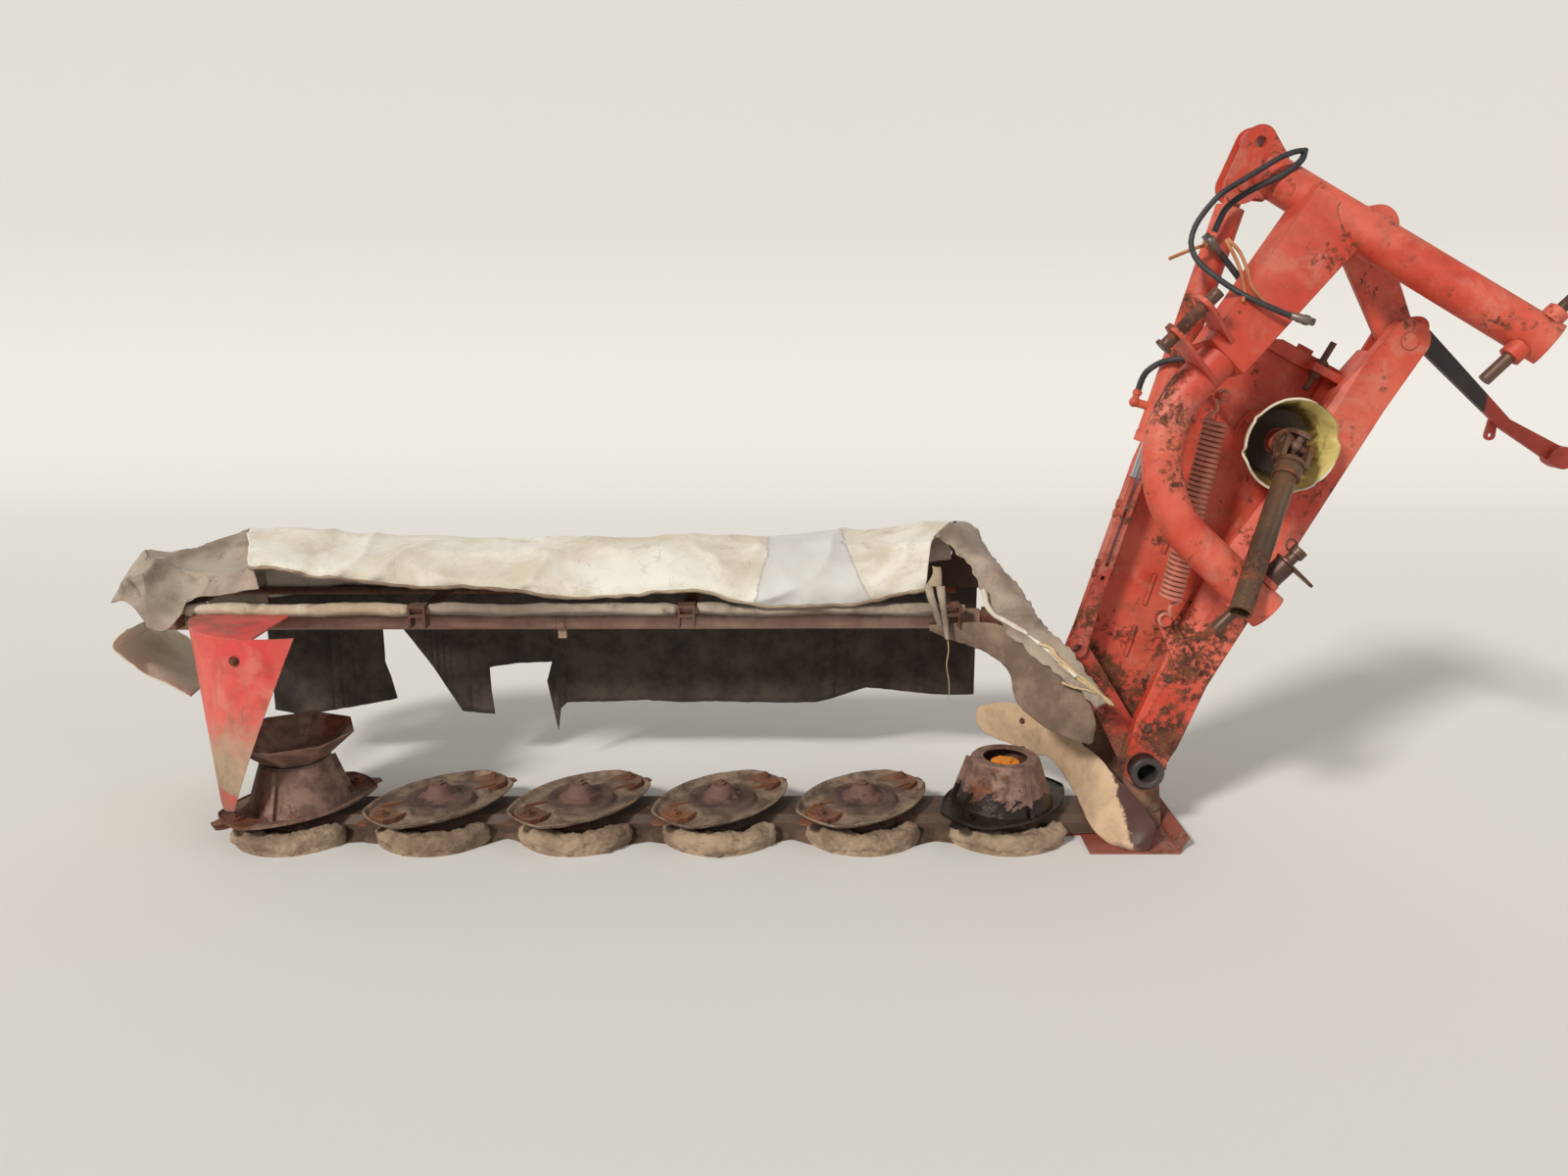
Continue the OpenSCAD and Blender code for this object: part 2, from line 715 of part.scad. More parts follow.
// Close-wound balance spring with its two hooks
module balance_spring() color("indianred") place() in_arm() {
    run = spring_high - spring_low;
    len = norm(run);
    wire = 6;
    turns = floor((len - 110) / (2 * wire + 2.2));
    step = (len - 110) / turns;
    translate([spring_low[0], -78, spring_low[1]]) rotate([0, -atan2(run[1], run[0]), 0]) {
        rotate([0, 90, 0]) rotate_extrude() {
            translate([0, 50]) square([spring_r - wire - 1, step * (turns - 1)]);
            for (i = [0:turns - 1]) translate([spring_r - wire, 50 + i * step]) circle(r = wire);
        }
        for (s = [0, len]) translate([s, 0, 0]) rotate([90, 0, 0]) rotate_extrude()
            translate([8 + wire + seat, 0]) circle(r = wire);
        x_rod(wire, 8 + 2 * wire, 52);
        x_rod(wire, len - 90, len - 8 - 2 * wire);
    }
}

module belt_tensioner() color("saddlebrown") place() in_arm() translate([0, 16, tension_up]) {
    x_rod(9 - seat, tension_low, tension_high);
    x_rod(15, tension_at + 22 + seat, tension_at + 34);
    x_rod(15, tension_at - 12, tension_at - seat);
}

// Parking stand, hung on the arm's rear ear
knee = [-97, -362];
foot = [-102, -522];
module stand_leg() color("black") place() in_arm() translate([stand_at[0], 0, stand_at[1]]) {
    difference() {
        union() {
            y_plate(66, 84) link2d([0, 0], 26, knee, 16);
            y_plate(66, 84) link2d(knee, 16, foot, 24);
            y_plate(52, 98) link2d(foot + [-4, -10], 26, foot + [0, -24], 30);
            y_plate(84, 94) link2d(knee + [8, 30], 10, knee + [-40, 10], 14);
        }
        y_rod(11, 0, 200);
        translate([knee[0] - 40, 0, knee[1] + 10]) y_rod(6, 60, 120);
    }
}

// Headstock, drawn along its lower-link line with +Z towards the top link

pin_core = pin_r + 1;
mast_top = [738, -8, 668];
mast_low = [link_span + 21, -pin_y, -46];
box_turn = 15;
leg_lat = -28;
leg_tilt = 12.3;
leg_top = 468;
leg_rise = leg_top - leg_bend;

module mast_solid(r) {
    rod_between(mast_low, mast_top, r);
}

module leg_tube(r) {
    translate([leg_lat, -pin_y, 0]) rotate([-leg_tilt, 0, 0]) {
        translate([0, 0, -56]) cylinder(r = r, h = 56 + leg_rise);
        translate([leg_bend, 0, leg_rise]) rotate([90, 0, 0]) rotate([0, 0, 90])
            rotate_extrude(angle = 90) translate([leg_bend, 0]) circle(r = r);
        translate([leg_bend, 0, leg_top]) x_rod(r, 0, 354 - leg_bend);
    }
}

module box_solid() {
    translate([mast_top[0] + 30, -88, 0]) rotate([0, 0, box_turn]) intersection() {
        y_plate(-60, 60) polygon([[0, 392], [0, 572], [-470, 520], [-470, 402]]);
        x_plate(-480, 10) {
            translate([-44, 380]) square([76, 300]);
            translate([-34, 372]) square([62, 300]);
            translate([-10, 424]) circle(r = 34);
            translate([10, 400]) square([38, 250]);
        }
    }
}

module mast_tube() color("tomato") place() in_head() difference() {
    union() {
        mast_solid(mast_r);
        translate([0, -pin_y, 0]) {
            x_rod(26, link_span - 61, link_span - 25);
            x_rod(26, link_span + 51, link_span + 83);
        }
    }
    rod_between(mast_low - 0.02 * (mast_top - mast_low), mast_low + 0.3 * (mast_top - mast_low), mast_r - 6);
    translate([link_span, -pin_y, 0]) x_rod(pin_core + seat, -120, 120);
    translate([eye_lat, 0, eye_up]) y_rod(eye_r + 4, -24, 24);
}

hole_at = [772, 726];
eye_r = 34;
eye_pin_r = 14;
barrel_start = 52;
module apex_bracket() color("tomato") place() in_head() difference() {
    union() {
        for (s = [-1, 1]) translate([0, s * 30, 0]) y_plate(-5, 5) {
            link2d(hole_at, 40, [eye_lat, eye_up], 44);
            polygon([hole_at, [eye_lat - 10, eye_up - 30], [700, 604], [744, 596], [796, 650], [811, 720]]);
        }
        y_plate(-26, 26) link2d(hole_at, 36, [764, 664], 38);
    }
    mast_solid(mast_r + seat);
    translate([eye_lat, 0, eye_up]) y_rod(eye_r + 12, -25, 25);
    translate([eye_lat, 0, eye_up]) y_rod(eye_pin_r + run_gap, -60, 60);
    translate([hole_at[0], 0, hole_at[1]]) y_rod(13, -60, 60);
}

module cross_box() color("tomato") place() in_head() difference() {
    union() {
        box_solid();
        x_plate(352, 364) link2d([-200, 480], 40, [-pin_y, mast_h], 30);
    }
    mast_solid(mast_r);
    leg_tube(leg_r);
    translate([0, -pin_y, mast_h]) x_rod(pin_core + seat, 100, 500);
}

module curved_leg() color("tomato") place() in_head() {
    difference() {
        union() {
            leg_tube(leg_r);
            // End plate and outer boss that hold the lower-link pin
            translate([leg_lat, -pin_y, 0]) x_rod(30, leg_r - 6, leg_r + 10);
            translate([leg_lat, -pin_y, 0]) x_rod(28, -leg_r - 8, -leg_r + 6);
            // Left lug of the top link
            x_plate(262, 274) link2d([-205, 460], 48, [-pin_y, mast_h], 30);
        }
        translate([leg_lat, -pin_y, 0]) rotate([-leg_tilt, 0, 0]) translate([0, 0, -100])
            cylinder(r = leg_r - 6, h = 100 + 140);
        translate([0, -pin_y, 0]) x_rod(pin_core + seat, -160, 160);
        translate([0, -pin_y, mast_h]) x_rod(pin_core + seat, 200, 400);
    }
}

// Bracket from the mast back to the arm's top, with its round gusset
gusset = [815, 385];
module pivot_bracket() color("firebrick") place() in_head() difference() {
    union() {
        y_plate(beam_back + 5, web_back - 5) dot([pivot_lat, pivot_up], 48);
        y_plate(8, 26) link2d([pivot_lat, pivot_up], 46, gusset, 60);
        translate([gusset[0], 0, gusset[1]]) y_rod(52, -100, 20);
    }
    mast_solid(mast_r + seat);
    translate([pivot_lat, 0, pivot_up]) y_rod(20 + run_gap, -100, 100);
}

module top_link_pin() color("dimgray") place() in_head() translate([0, -pin_y, mast_h]) {
    x_rod(pin_core, 232, 400);
    x_rod(pin_core + 6, 224, 232);
}

module lower_pin_left() color("silver") place() in_head() translate([0, -pin_y, 0]) {
    x_rod(pin_r, -146, -90);
    x_rod(pin_core, -92, 128);
    x_rod(27, leg_lat + leg_r + 10 + seat, 82);
    x_rod(20, 112, 132);
    x_plate(84, 90) link2d([0, 0], 30, [-20, -66], 14);
    translate([124, 0, 24]) rotate([90, 0, 20]) rotate_extrude() translate([15, 0]) circle(r = 2.5);
}

module lower_pin_right() color("saddlebrown") place() in_head() translate([link_span, -pin_y, 0]) {
    x_rod(pin_core, -134, 85);
    x_rod(pin_r - 0.5, 83, 142);
}

// Lift cylinder, drawn from its upper eye towards its lower one along +X

barrel_end = barrel_start + barrel_len;
module cylinder_barrel() color("tomato") place() in_cylinder() {
    difference() {
        union() {
            y_rod(eye_r, -18, 18);
            x_rod(22, 10, barrel_start);
            x_rod(barrel_r, barrel_start, barrel_end);
            x_rod(barrel_r + 2, barrel_end - 26, barrel_end);
            // Oil port with its elbow, near the rod end
            translate([barrel_end - 92, 0, 0]) {
                translate([0, 0, -barrel_r - 26]) cylinder(r = 11, h = 40);
                translate([0, 0, -barrel_r - 34]) sphere(r = 13);
                translate([0, 0, -barrel_r - 34]) x_rod(9, -34, 0);
                translate([0, 0, -barrel_r - 34]) x_rod(12, -30, -20);
            }
        }
        x_rod(rod_r + run_gap, barrel_start + 170, barrel_end + 5);
    }
    y_rod(eye_pin_r, -42, 42);
}

strap_start = 752;
tongue = 5;
module cylinder_rod() color("silver") place() in_cylinder() {
    x_rod(rod_r, 330, strap_start + 6);
    difference() {
        translate([strap_start, -18, -tongue]) cube([90, 36, 2 * tongue]);
        for (s = [835, 862]) translate([s, 0, -20]) cylinder(r = 8, h = 40);
    }
}

// Two flats bolted on the rod's tongue, ending in two ears over the lever's eye
flat_t = 12;
ear_in = 11;
module strap_link() color("indianred") place() in_cylinder() {
    difference() {
        union() {
            for (s = [-1, 1]) translate([strap_start + 8, -20, s * (tongue + flat_t / 2 + seat) - flat_t / 2])
                cube([1060 - strap_start - 8, 40, flat_t]);
            translate([1004, -20, -tongue - 1]) cube([28, 40, 2 * tongue + 2]);
            for (s = [-1, 1]) translate([0, s * (ear_in + 4), 0]) y_plate(-4, 4)
                link2d([1058, 0], 15, [cyl_len, 0], 26);
        }
        translate([cyl_len, 0, 0]) y_rod(13, -60, 60);
        x_rod(rod_r + seat, 740, strap_start + 12);
    }
    for (s = [835, 862, 1004, 1031]) translate([s, 0, 0]) {
        translate([0, 0, -26]) cylinder(r = 7.8, h = 52);
        for (z = [-25, 17]) translate([0, 0, z]) hex_head(12, 8);
    }
}

// Universal joint and half-shaft

// Two yoke arms along X, rounded about the joint's centre, reaching to the given depth on +Z
module yoke_arms(depth) {
    for (s = [-1, 1]) translate([s * 34 - 6, 0, 0]) rotate([0, 0, 90]) y_plate(-12, 0) {
        circle(r = 20);
        translate([-20, 0]) square([40, depth]);
    }
}

module drive_joint() color("darkgoldenrod") place() translate([input_at[0], joint_y, input_at[1]]) {
    rotate([0, -cross_angle, 0]) {
        x_rod(9 - run_gap, -40, 40);
        cylinder(r = 9 - run_gap, h = 80, center = true);
        sphere(r = 15);
        rotate([-90, 0, 0]) yoke_arms(40);
    }
    y_rod(42, 34, -118 - joint_y - seat);
}

// Frame with -Z along the half-shaft and X along its own journal
module shaft_frame() {
    d = -shaft_dir / norm(shaft_dir);
    translate([input_at[0], joint_y, input_at[1]]) rotate([0, -cross_angle, 0]) rotate([0, 90, 0])
        rotate([-asin(d[1]), 0, 0]) children();
}

module half_shaft() color("darkolivegreen") place() shaft_frame() difference() {
    union() {
        rotate([180, 0, 0]) {
            yoke_arms(56);
            translate([0, 0, 50]) cylinder(r = 38, h = 12);
            translate([0, 0, 62]) cylinder(r = 34, h = 34);
            translate([0, 0, 96]) cylinder(r = shaft_r, h = shaft_len - 96);
        }
    }
    x_rod(9, -60, 60);
    translate([0, 0, -shaft_len - 1]) cylinder(r = shaft_r - 4, h = shaft_len - 119);
}

// Hydraulic hose: from the barrel's port, across the barrel and up to its loose coupling
hose_r = 8;
HOSE = [[303.8, 0, 1236.2], [309.7, 0, 1257.4], [320, -5, 1281], [346, -23, 1304], [372, -45, 1313],
        [411, -62, 1317], [511, -85, 1313], [562, -85, 1352], [572, -85, 1412], [530, -76, 1490],
        [480, -64, 1556], [450, -56, 1592]];

function ring_dir(p, i) = let (a = p[max(i - 1, 0)], b = p[min(i + 1, len(p) - 1)]) (b - a) / norm(b - a);

module tube_along(p, r) {
    n = 8;
    rings = [for (i = [0:len(p) - 1])
        let (t = ring_dir(p, i), u0 = cross(t, [0.1, 1, 0.2]), u = u0 / norm(u0), v = cross(t, u))
        for (k = [0:n - 1]) p[i] + r * (cos(k * 45) * u + sin(k * 45) * v)];
    walls = [for (i = [0:len(p) - 2], k = [0:n - 1]) let (m = (k + 1) % n, a = i * n, b = a + n)
        each [[a + k, b + m, a + m], [a + k, b + k, b + m]]];
    last = (len(p) - 1) * n;
    ends = [for (k = [1:n - 2]) each [[0, k, k + 1], [last, last + k + 1, last + k]]];
    polyhedron(rings, concat(walls, ends));
}

module hose() color("black") place() {
    tube_along(HOSE, hose_r);
}

gear_bar();
skid_shoes();
inner_shoe();
inner_deflector();
hinge_bracket();
hinge_tube();
lift_lever();
guard_tube();
guard_post();
cross_bars();
front_rail();
rear_rail();
outer_cone();
inner_flap();
canvas_top();
rear_curtain();
canvas_outer();
canvas_inner();
rotor(1);  // rotor_1
rotor(2);  // rotor_2
rotor(3);  // rotor_3
rotor(4);  // rotor_4
rotor(5);  // rotor_5
rotor(6);  // rotor_6
drum_cap();
main_beam();
belt_cover();
input_housing();
drive_shield();
balance_spring();
belt_tensioner();
stand_leg();
mast_tube();
apex_bracket();
cross_box();
curved_leg();
pivot_bracket();
top_link_pin();
lower_pin_left();
lower_pin_right();
cylinder_barrel();
cylinder_rod();
strap_link();
drive_joint();
half_shaft();
hose();
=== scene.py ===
import bpy
import bmesh
import math
from mathutils import Matrix, Vector, noise


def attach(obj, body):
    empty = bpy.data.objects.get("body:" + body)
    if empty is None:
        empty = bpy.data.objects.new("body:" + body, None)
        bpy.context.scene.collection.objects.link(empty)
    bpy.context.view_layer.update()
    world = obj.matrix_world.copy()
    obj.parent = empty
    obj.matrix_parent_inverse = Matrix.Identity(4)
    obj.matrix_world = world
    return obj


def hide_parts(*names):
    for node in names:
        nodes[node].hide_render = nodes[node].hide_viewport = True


print("stage: frame")
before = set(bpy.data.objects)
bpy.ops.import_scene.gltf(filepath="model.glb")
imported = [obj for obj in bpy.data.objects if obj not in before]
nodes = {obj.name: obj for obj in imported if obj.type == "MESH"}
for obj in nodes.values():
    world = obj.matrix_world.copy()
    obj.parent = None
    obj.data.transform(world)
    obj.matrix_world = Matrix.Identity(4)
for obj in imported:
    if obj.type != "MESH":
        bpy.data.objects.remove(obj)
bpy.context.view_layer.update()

# Middle of the whole machine, in the cutterbar's own coordinates
middle = Vector((-0.533, 0.0155, 0.0))
stations = [-2.0, -1.6, -1.2, -0.8, -0.4, 0.0]
discLook = {"long": 0.424, "short": 0.296, "floor": 0.0865, "rim": 0.0985, "island": 0.014, "hub": 0.036, "bolt": 178,
            "turn": math.radians(47.0), "plate": 0.004, "rust": 0.45, "dirt": 0.3, "wetDrum": 0.95}


# From millimetres in the cutterbar's coordinates to the frame
def at(x, y, z):
    return Vector((x, y, z)) * 0.001 - middle


armAngle = math.radians(62.6)
armAlong = Vector((math.cos(armAngle), 0, math.sin(armAngle)))
armAcross = Vector((-math.sin(armAngle), 0, math.cos(armAngle)))
hinge = Vector((369, 0, 208))


# A point along the arm and across it, from the hinge
def armPoint(along, across, y):
    p = hinge + armAlong * along + armAcross * across
    return at(p.x, y, p.z)


def newObject(name, data):
    item = bpy.data.objects.new(name, data)
    bpy.context.scene.collection.objects.link(item)
    return item


# Say which body carries a piece, and hide the CAD node it stands for
def carry(piece, body, node=None):
    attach(piece, body)
    if node:
        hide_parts(node)


# Camera, at the photograph's angle

print("stage: camera")
view = {"lens": 27.0, "place": (-596.2, -3096.3, 1472.2), "yaw": -0.43, "pitch": 13.89, "roll": 0.24}
cameraData = bpy.data.cameras.new("camera")
cameraData.lens = view["lens"]
cameraData.sensor_width = 36.0
cameraData.clip_end = 200.0
camera = newObject("camera", cameraData)
yaw, pitch, roll = (math.radians(view[k]) for k in ("yaw", "pitch", "roll"))
forward = Vector((math.sin(yaw) * math.cos(pitch), math.cos(yaw) * math.cos(pitch), -math.sin(pitch)))
level = Vector((math.cos(yaw), -math.sin(yaw), 0))
down = forward.cross(level)
rightWay = level * math.cos(roll) + down * math.sin(roll)
downWay = down * math.cos(roll) - level * math.sin(roll)
turn = Matrix((rightWay, -downWay, -forward)).transposed().to_4x4()
camera.matrix_world = Matrix.Translation(at(*view["place"])) @ turn
bpy.context.scene.camera = camera


# Colours are written as they look on a screen and turned into light values here
def tone(red, green, blue):
    def lin(c):
        c /= 255.0
        return c / 12.92 if c <= 0.04045 else ((c + 0.055) / 1.055) ** 2.4
    return (lin(red), lin(green), lin(blue), 1.0)


# Node helpers: they work on the tree that newGroup or startMaterial opened last

def openTree(tree):
    global nodeTree
    nodeTree = tree


def newNode(kind, **settings):
    node = nodeTree.nodes.new(kind)
    for key, value in settings.items():
        setattr(node, key, value)
    return node


def feed(source, target):
    if isinstance(source, bpy.types.NodeSocket):
        nodeTree.links.new(source, target)
    else:
        target.default_value = source


def maths(operation, a, b=0.5):
    node = newNode("ShaderNodeMath", operation=operation)
    feed(a, node.inputs[0])
    feed(b, node.inputs[1])
    return node.outputs[0]


def add(a, b):
    return maths("ADD", a, b)


def minus(a, b):
    return maths("SUBTRACT", a, b)


def times(a, b):
    return maths("MULTIPLY", a, b)


# Noise that runs from 0 to 1, turned into a swing on both sides of zero
def swing(value, amount):
    return times(minus(value, 0.5), amount)


def blend(factor, a, b):
    node = newNode("ShaderNodeMix", data_type="RGBA")
    feed(factor, node.inputs["Factor"])
    for colour, socket in ((a, node.inputs[6]), (b, node.inputs[7])):
        feed(tone(*colour) if isinstance(colour, tuple) else colour, socket)
    return node.outputs[2]


def step(value, low, high):
    node = newNode("ShaderNodeMapRange", interpolation_type="SMOOTHSTEP")
    feed(value, node.inputs["Value"])
    feed(low, node.inputs["From Min"])
    feed(high, node.inputs["From Max"])
    return node.outputs["Result"]


def speckle(place, scale, detail=6.0, rough=0.6, distortion=0.0):
    node = newNode("ShaderNodeTexNoise")
    for label, value in (("Vector", place), ("Scale", scale), ("Detail", detail), ("Roughness", rough),
                         ("Distortion", distortion)):
        feed(value, node.inputs[label])
    return node.outputs["Fac"]


def shift(place, offset, size=(1, 1, 1)):
    node = newNode("ShaderNodeMapping")
    for label, value in (("Vector", place), ("Location", offset), ("Scale", size)):
        feed(value, node.inputs[label])
    return node.outputs["Vector"]


def split(vector):
    node = newNode("ShaderNodeSeparateXYZ")
    feed(vector, node.inputs[0])
    return node.outputs


# A group's sockets are numbers, apart from those with one of these labels
socketKinds = {"Color": "NodeSocketColor", "Geometry": "NodeSocketGeometry", "Material": "NodeSocketMaterial"}


def newGroup(name, treeKind, inputs, outputs):
    group = bpy.data.node_groups.new(name, treeKind)
    openTree(group)
    for label, value in inputs.items():
        kind = socketKinds.get(label, "NodeSocketFloat")
        socket = group.interface.new_socket(label, in_out="INPUT", socket_type=kind)
        if value is not None:
            socket.default_value = value
    for label in outputs:
        kind = socketKinds.get(label, "NodeSocketFloat")
        group.interface.new_socket(label, in_out="OUTPUT", socket_type=kind)
    return group, newNode("NodeGroupInput").outputs, newNode("NodeGroupOutput").inputs


print("stage: shared shader groups")
rustLook = {"dark": (62, 36, 26), "brown": (128, 72, 44), "light": (160, 92, 52)}
dirtLook = {"light": (146, 124, 101), "dark": (112, 90, 70)}
metalLook = {"grime": (70, 40, 32), "grimeAmount": 0.3, "scrapes": 0.6, "edges": 0.55, "dirt": 0.88, "dirtyRough": 0.9}
# The beneath colour is painted shade for the undersides of the cloth
clothColours = {"patch": (206, 206, 205), "paintedShadeBeneath": (92, 76, 62), "weave": 900.0}
mudColours = {"straw": (176, 150, 118), "wet": (58, 42, 32)}
discColours = {"plate": (150, 118, 102), "plateDark": (116, 88, 76), "red": (138, 76, 50), "redDark": (84, 48, 36),
               "bare": (160, 138, 118), "damp": (34, 26, 22)}
panColours = {"dust": (150, 128, 106), "dustDark": (92, 72, 60), "brown": (104, 80, 68), "brownDark": (66, 46, 40),
              "hub": (112, 82, 72), "spots": (72, 48, 38), "edge": (186, 164, 140)}
# In the drive guard, greasy is grease and painted shade together, and deep is painted shade
guardColours = {"yellow": (222, 204, 128), "stained": (196, 172, 96), "greaseAndShade": (112, 92, 44), "deepShade": (48, 38, 26)}
chromeColours = {"bright": (198, 200, 206), "dull": (150, 138, 126)}


# Worn edges: a mask from rounded against true normals, broken up by noise
def makeEdgeWear():
    group, inside, out = newGroup("Edge wear", "ShaderNodeTree", {"Radius": 0.004, "Amount": 0.5, "Scale": 30.0},
                                  ["Mask"])
    place = newNode("ShaderNodeTexCoord").outputs["Object"]
    bevel = newNode("ShaderNodeBevel", samples=3)
    feed(inside["Radius"], bevel.inputs["Radius"])
    true = newNode("ShaderNodeNewGeometry")
    dot = newNode("ShaderNodeVectorMath", operation="DOT_PRODUCT")
    feed(bevel.outputs["Normal"], dot.inputs[0])
    feed(true.outputs["Normal"], dot.inputs[1])
    bend = minus(1.0, dot.outputs["Value"])
    grit = speckle(place, inside["Scale"], 5.0, 0.7)
    broken = times(bend, times(grit, 3.4))
    low = minus(0.34, times(inside["Amount"], 0.3))
    mask = step(broken, low, add(low, 0.12))
    feed(mask, out["Mask"])
    return group


# Rust: brown patches with specks round them
def makeRust():
    group, inside, out = newGroup("Rust", "ShaderNodeTree", {"Amount": 0.3, "Scale": 6.0, "Extra": 0.0},
                                  ["Mask", "Color", "Height"])
    place = newNode("ShaderNodeTexCoord").outputs["Object"]
    broad = speckle(place, inside["Scale"], 8.0, 0.62, 0.4)
    fine = speckle(shift(place, (3.1, 7.7, 1.9)), times(inside["Scale"], 9.0), 6.0, 0.7)
    both = add(times(broad, 0.62), times(fine, 0.38))
    both = add(both, inside["Extra"])
    low = minus(0.74, times(inside["Amount"], 0.42))
    mask = step(both, low, add(low, 0.07))
    tint = speckle(shift(place, (9.3, 1.2, 4.4)), 24.0, 6.0, 0.7)
    brown = blend(step(tint, 0.35, 0.65), rustLook["dark"], rustLook["brown"])
    brown = blend(step(fine, 0.58, 0.72), brown, rustLook["light"])
    feed(mask, out["Mask"])
    feed(brown, out["Color"])
    feed(times(mask, add(times(fine, 0.8), 0.3)), out["Height"])
    return group


# Dust and dry mud: settles on upward faces, and is splashed up from the ground
def makeDirt():
    group, inside, out = newGroup("Dirt", "ShaderNodeTree", {"Amount": 0.4, "Splash Height": 0.25, "Streaks": 0.3},
                                  ["Mask", "Color", "Height"])
    coords = newNode("ShaderNodeTexCoord")
    place = coords.outputs["Object"]
    facing = split(coords.outputs["Normal"])
    where = split(place)
    cloud = speckle(place, 5.0, 8.0, 0.65, 0.3)
    grit = speckle(place, 70.0, 5.0, 0.7)
    up = step(facing["Z"], 0.05, 0.95)
    settled = times(times(up, 0.75), inside["Amount"])
    reach = minus(1.0, maths("DIVIDE", where["Z"], inside["Splash Height"]))
    splash = times(maths("MAXIMUM", reach, 0.0), 0.95)
    veil = times(inside["Amount"], 0.5)
    runs = speckle(shift(place, (0, 0, 0), (26.0, 26.0, 2.2)), 1.0, 5.0, 0.6)
    runs = times(step(runs, 0.52, 0.68), inside["Streaks"])
    total = add(add(settled, splash), add(veil, times(runs, 0.4)))
    total = add(total, swing(cloud, 1.5))
    total = add(total, swing(grit, 0.5))
    mask = step(total, 0.3, 0.95)
    colour = blend(step(cloud, 0.3, 0.7), dirtLook["light"], dirtLook["dark"])
    feed(mask, out["Mask"])
    feed(colour, out["Color"])
    feed(times(mask, grit), out["Height"])
    return group


edgeWear = makeEdgeWear()
rustGroup = makeRust()
dirtGroup = makeDirt()


def useGroup(group, **values):
    node = newNode("ShaderNodeGroup", node_tree=group)
    for label, value in values.items():
        feed(value, node.inputs[label.replace("_", " ")])
    return node.outputs


def startMaterial(name):
    material = bpy.data.materials.new(name)
    material.use_nodes = True
    openTree(material.node_tree)
    return material, nodeTree.nodes["Principled BSDF"].inputs, newNode("ShaderNodeTexCoord").outputs["Object"]


def bump(shader, height, strength, distance):
    node = newNode("ShaderNodeBump")
    for label, value in (("Strength", strength), ("Distance", distance), ("Height", height)):
        feed(value, node.inputs[label])
    feed(node.outputs["Normal"], shader["Normal"])


# Painted or bare metal under rust, wear and dirt
def weathered(name, paint, faded, rust=0.3, dirt=0.4, wear=0.5, splash=0.25, streaks=0.3, gloss=0.45,
              metal=0.0, scale=6.0, bare=(150, 130, 118), low=0.0, zone=None, scuff=0.0):
    material, shader, place = startMaterial(name)
    fade = speckle(place, 3.2, 5.0, 0.55, 0.6)
    colour = blend(step(fade, 0.36, 0.66), paint, faded)
    where = split(place)
    if zone:
        mottle = speckle(shift(place, (2.7, 4.9, 6.3)), 26.0, 8.0, 0.75)
        mixed = add(times(fade, 0.6), times(mottle, 0.4))
        ragged = add(where[zone["axis"]], swing(mixed, zone["ragged"]))
        ragged = add(ragged, times(where["Z"], zone.get("lean", 0.0)))
        colour = blend(step(ragged, zone["start"], zone["end"]), colour, zone["colour"])
        if "tip" in zone:
            tipLine = add(where["Z"], swing(mixed, 0.08))
            colour = blend(step(tipLine, zone["tip"], zone["tip"] - 0.01), colour, paint)
    if scuff:
        worn = speckle(shift(place, (2.2, 6.1, 0.4)), 9.0, 9.0, 0.72, 0.5)
        colour = blend(times(step(worn, 0.5, 0.66), scuff), colour, bare)
    grime = speckle(shift(place, (5.5, 2.5, 8.5)), 17.0, 7.0, 0.7)
    colour = blend(times(step(grime, 0.42, 0.74), metalLook["grimeAmount"]), colour, metalLook["grime"])
    edges = useGroup(edgeWear, Radius=0.004, Amount=wear, Scale=34.0)
    scrape = speckle(shift(place, (1.5, 0.5, 3.5), (8.0, 60.0, 8.0)), 1.0, 7.0, 0.72)
    scraped = times(step(scrape, 0.66, 0.7), step(fade, 0.45, 0.6))
    colour = blend(times(scraped, metalLook["scrapes"]), colour, bare)
    extra = times(edges["Mask"], 0.16)
    if low:
        extra = add(extra, times(step(where["Z"], 0.85, 0.1), low))
    rusty = useGroup(rustGroup, Amount=rust, Scale=scale, Extra=extra)
    colour = blend(times(edges["Mask"], metalLook["edges"]), colour, bare)
    colour = blend(rusty["Mask"], colour, rusty["Color"])
    dirty = useGroup(dirtGroup, Amount=dirt, Splash_Height=splash, Streaks=streaks)
    colour = blend(times(dirty["Mask"], metalLook["dirt"]), colour, dirty["Color"])
    feed(colour, shader["Base Color"])
    cover = maths("MAXIMUM", rusty["Mask"], dirty["Mask"])
    smooth = add(gloss, times(grime, 0.14))
    rough = newNode("ShaderNodeMix")
    feed(cover, rough.inputs[0])
    feed(smooth, rough.inputs[2])
    rough.inputs[3].default_value = metalLook["dirtyRough"]
    feed(rough.outputs[0], shader["Roughness"])
    if metal:
        feed(times(minus(1.0, cover), metal), shader["Metallic"])
    raised = add(times(rusty["Height"], 0.5), times(dirty["Height"], 0.7))
    raised = add(raised, times(fade, 0.5))
    bump(shader, raised, 0.6, 0.004)
    return material
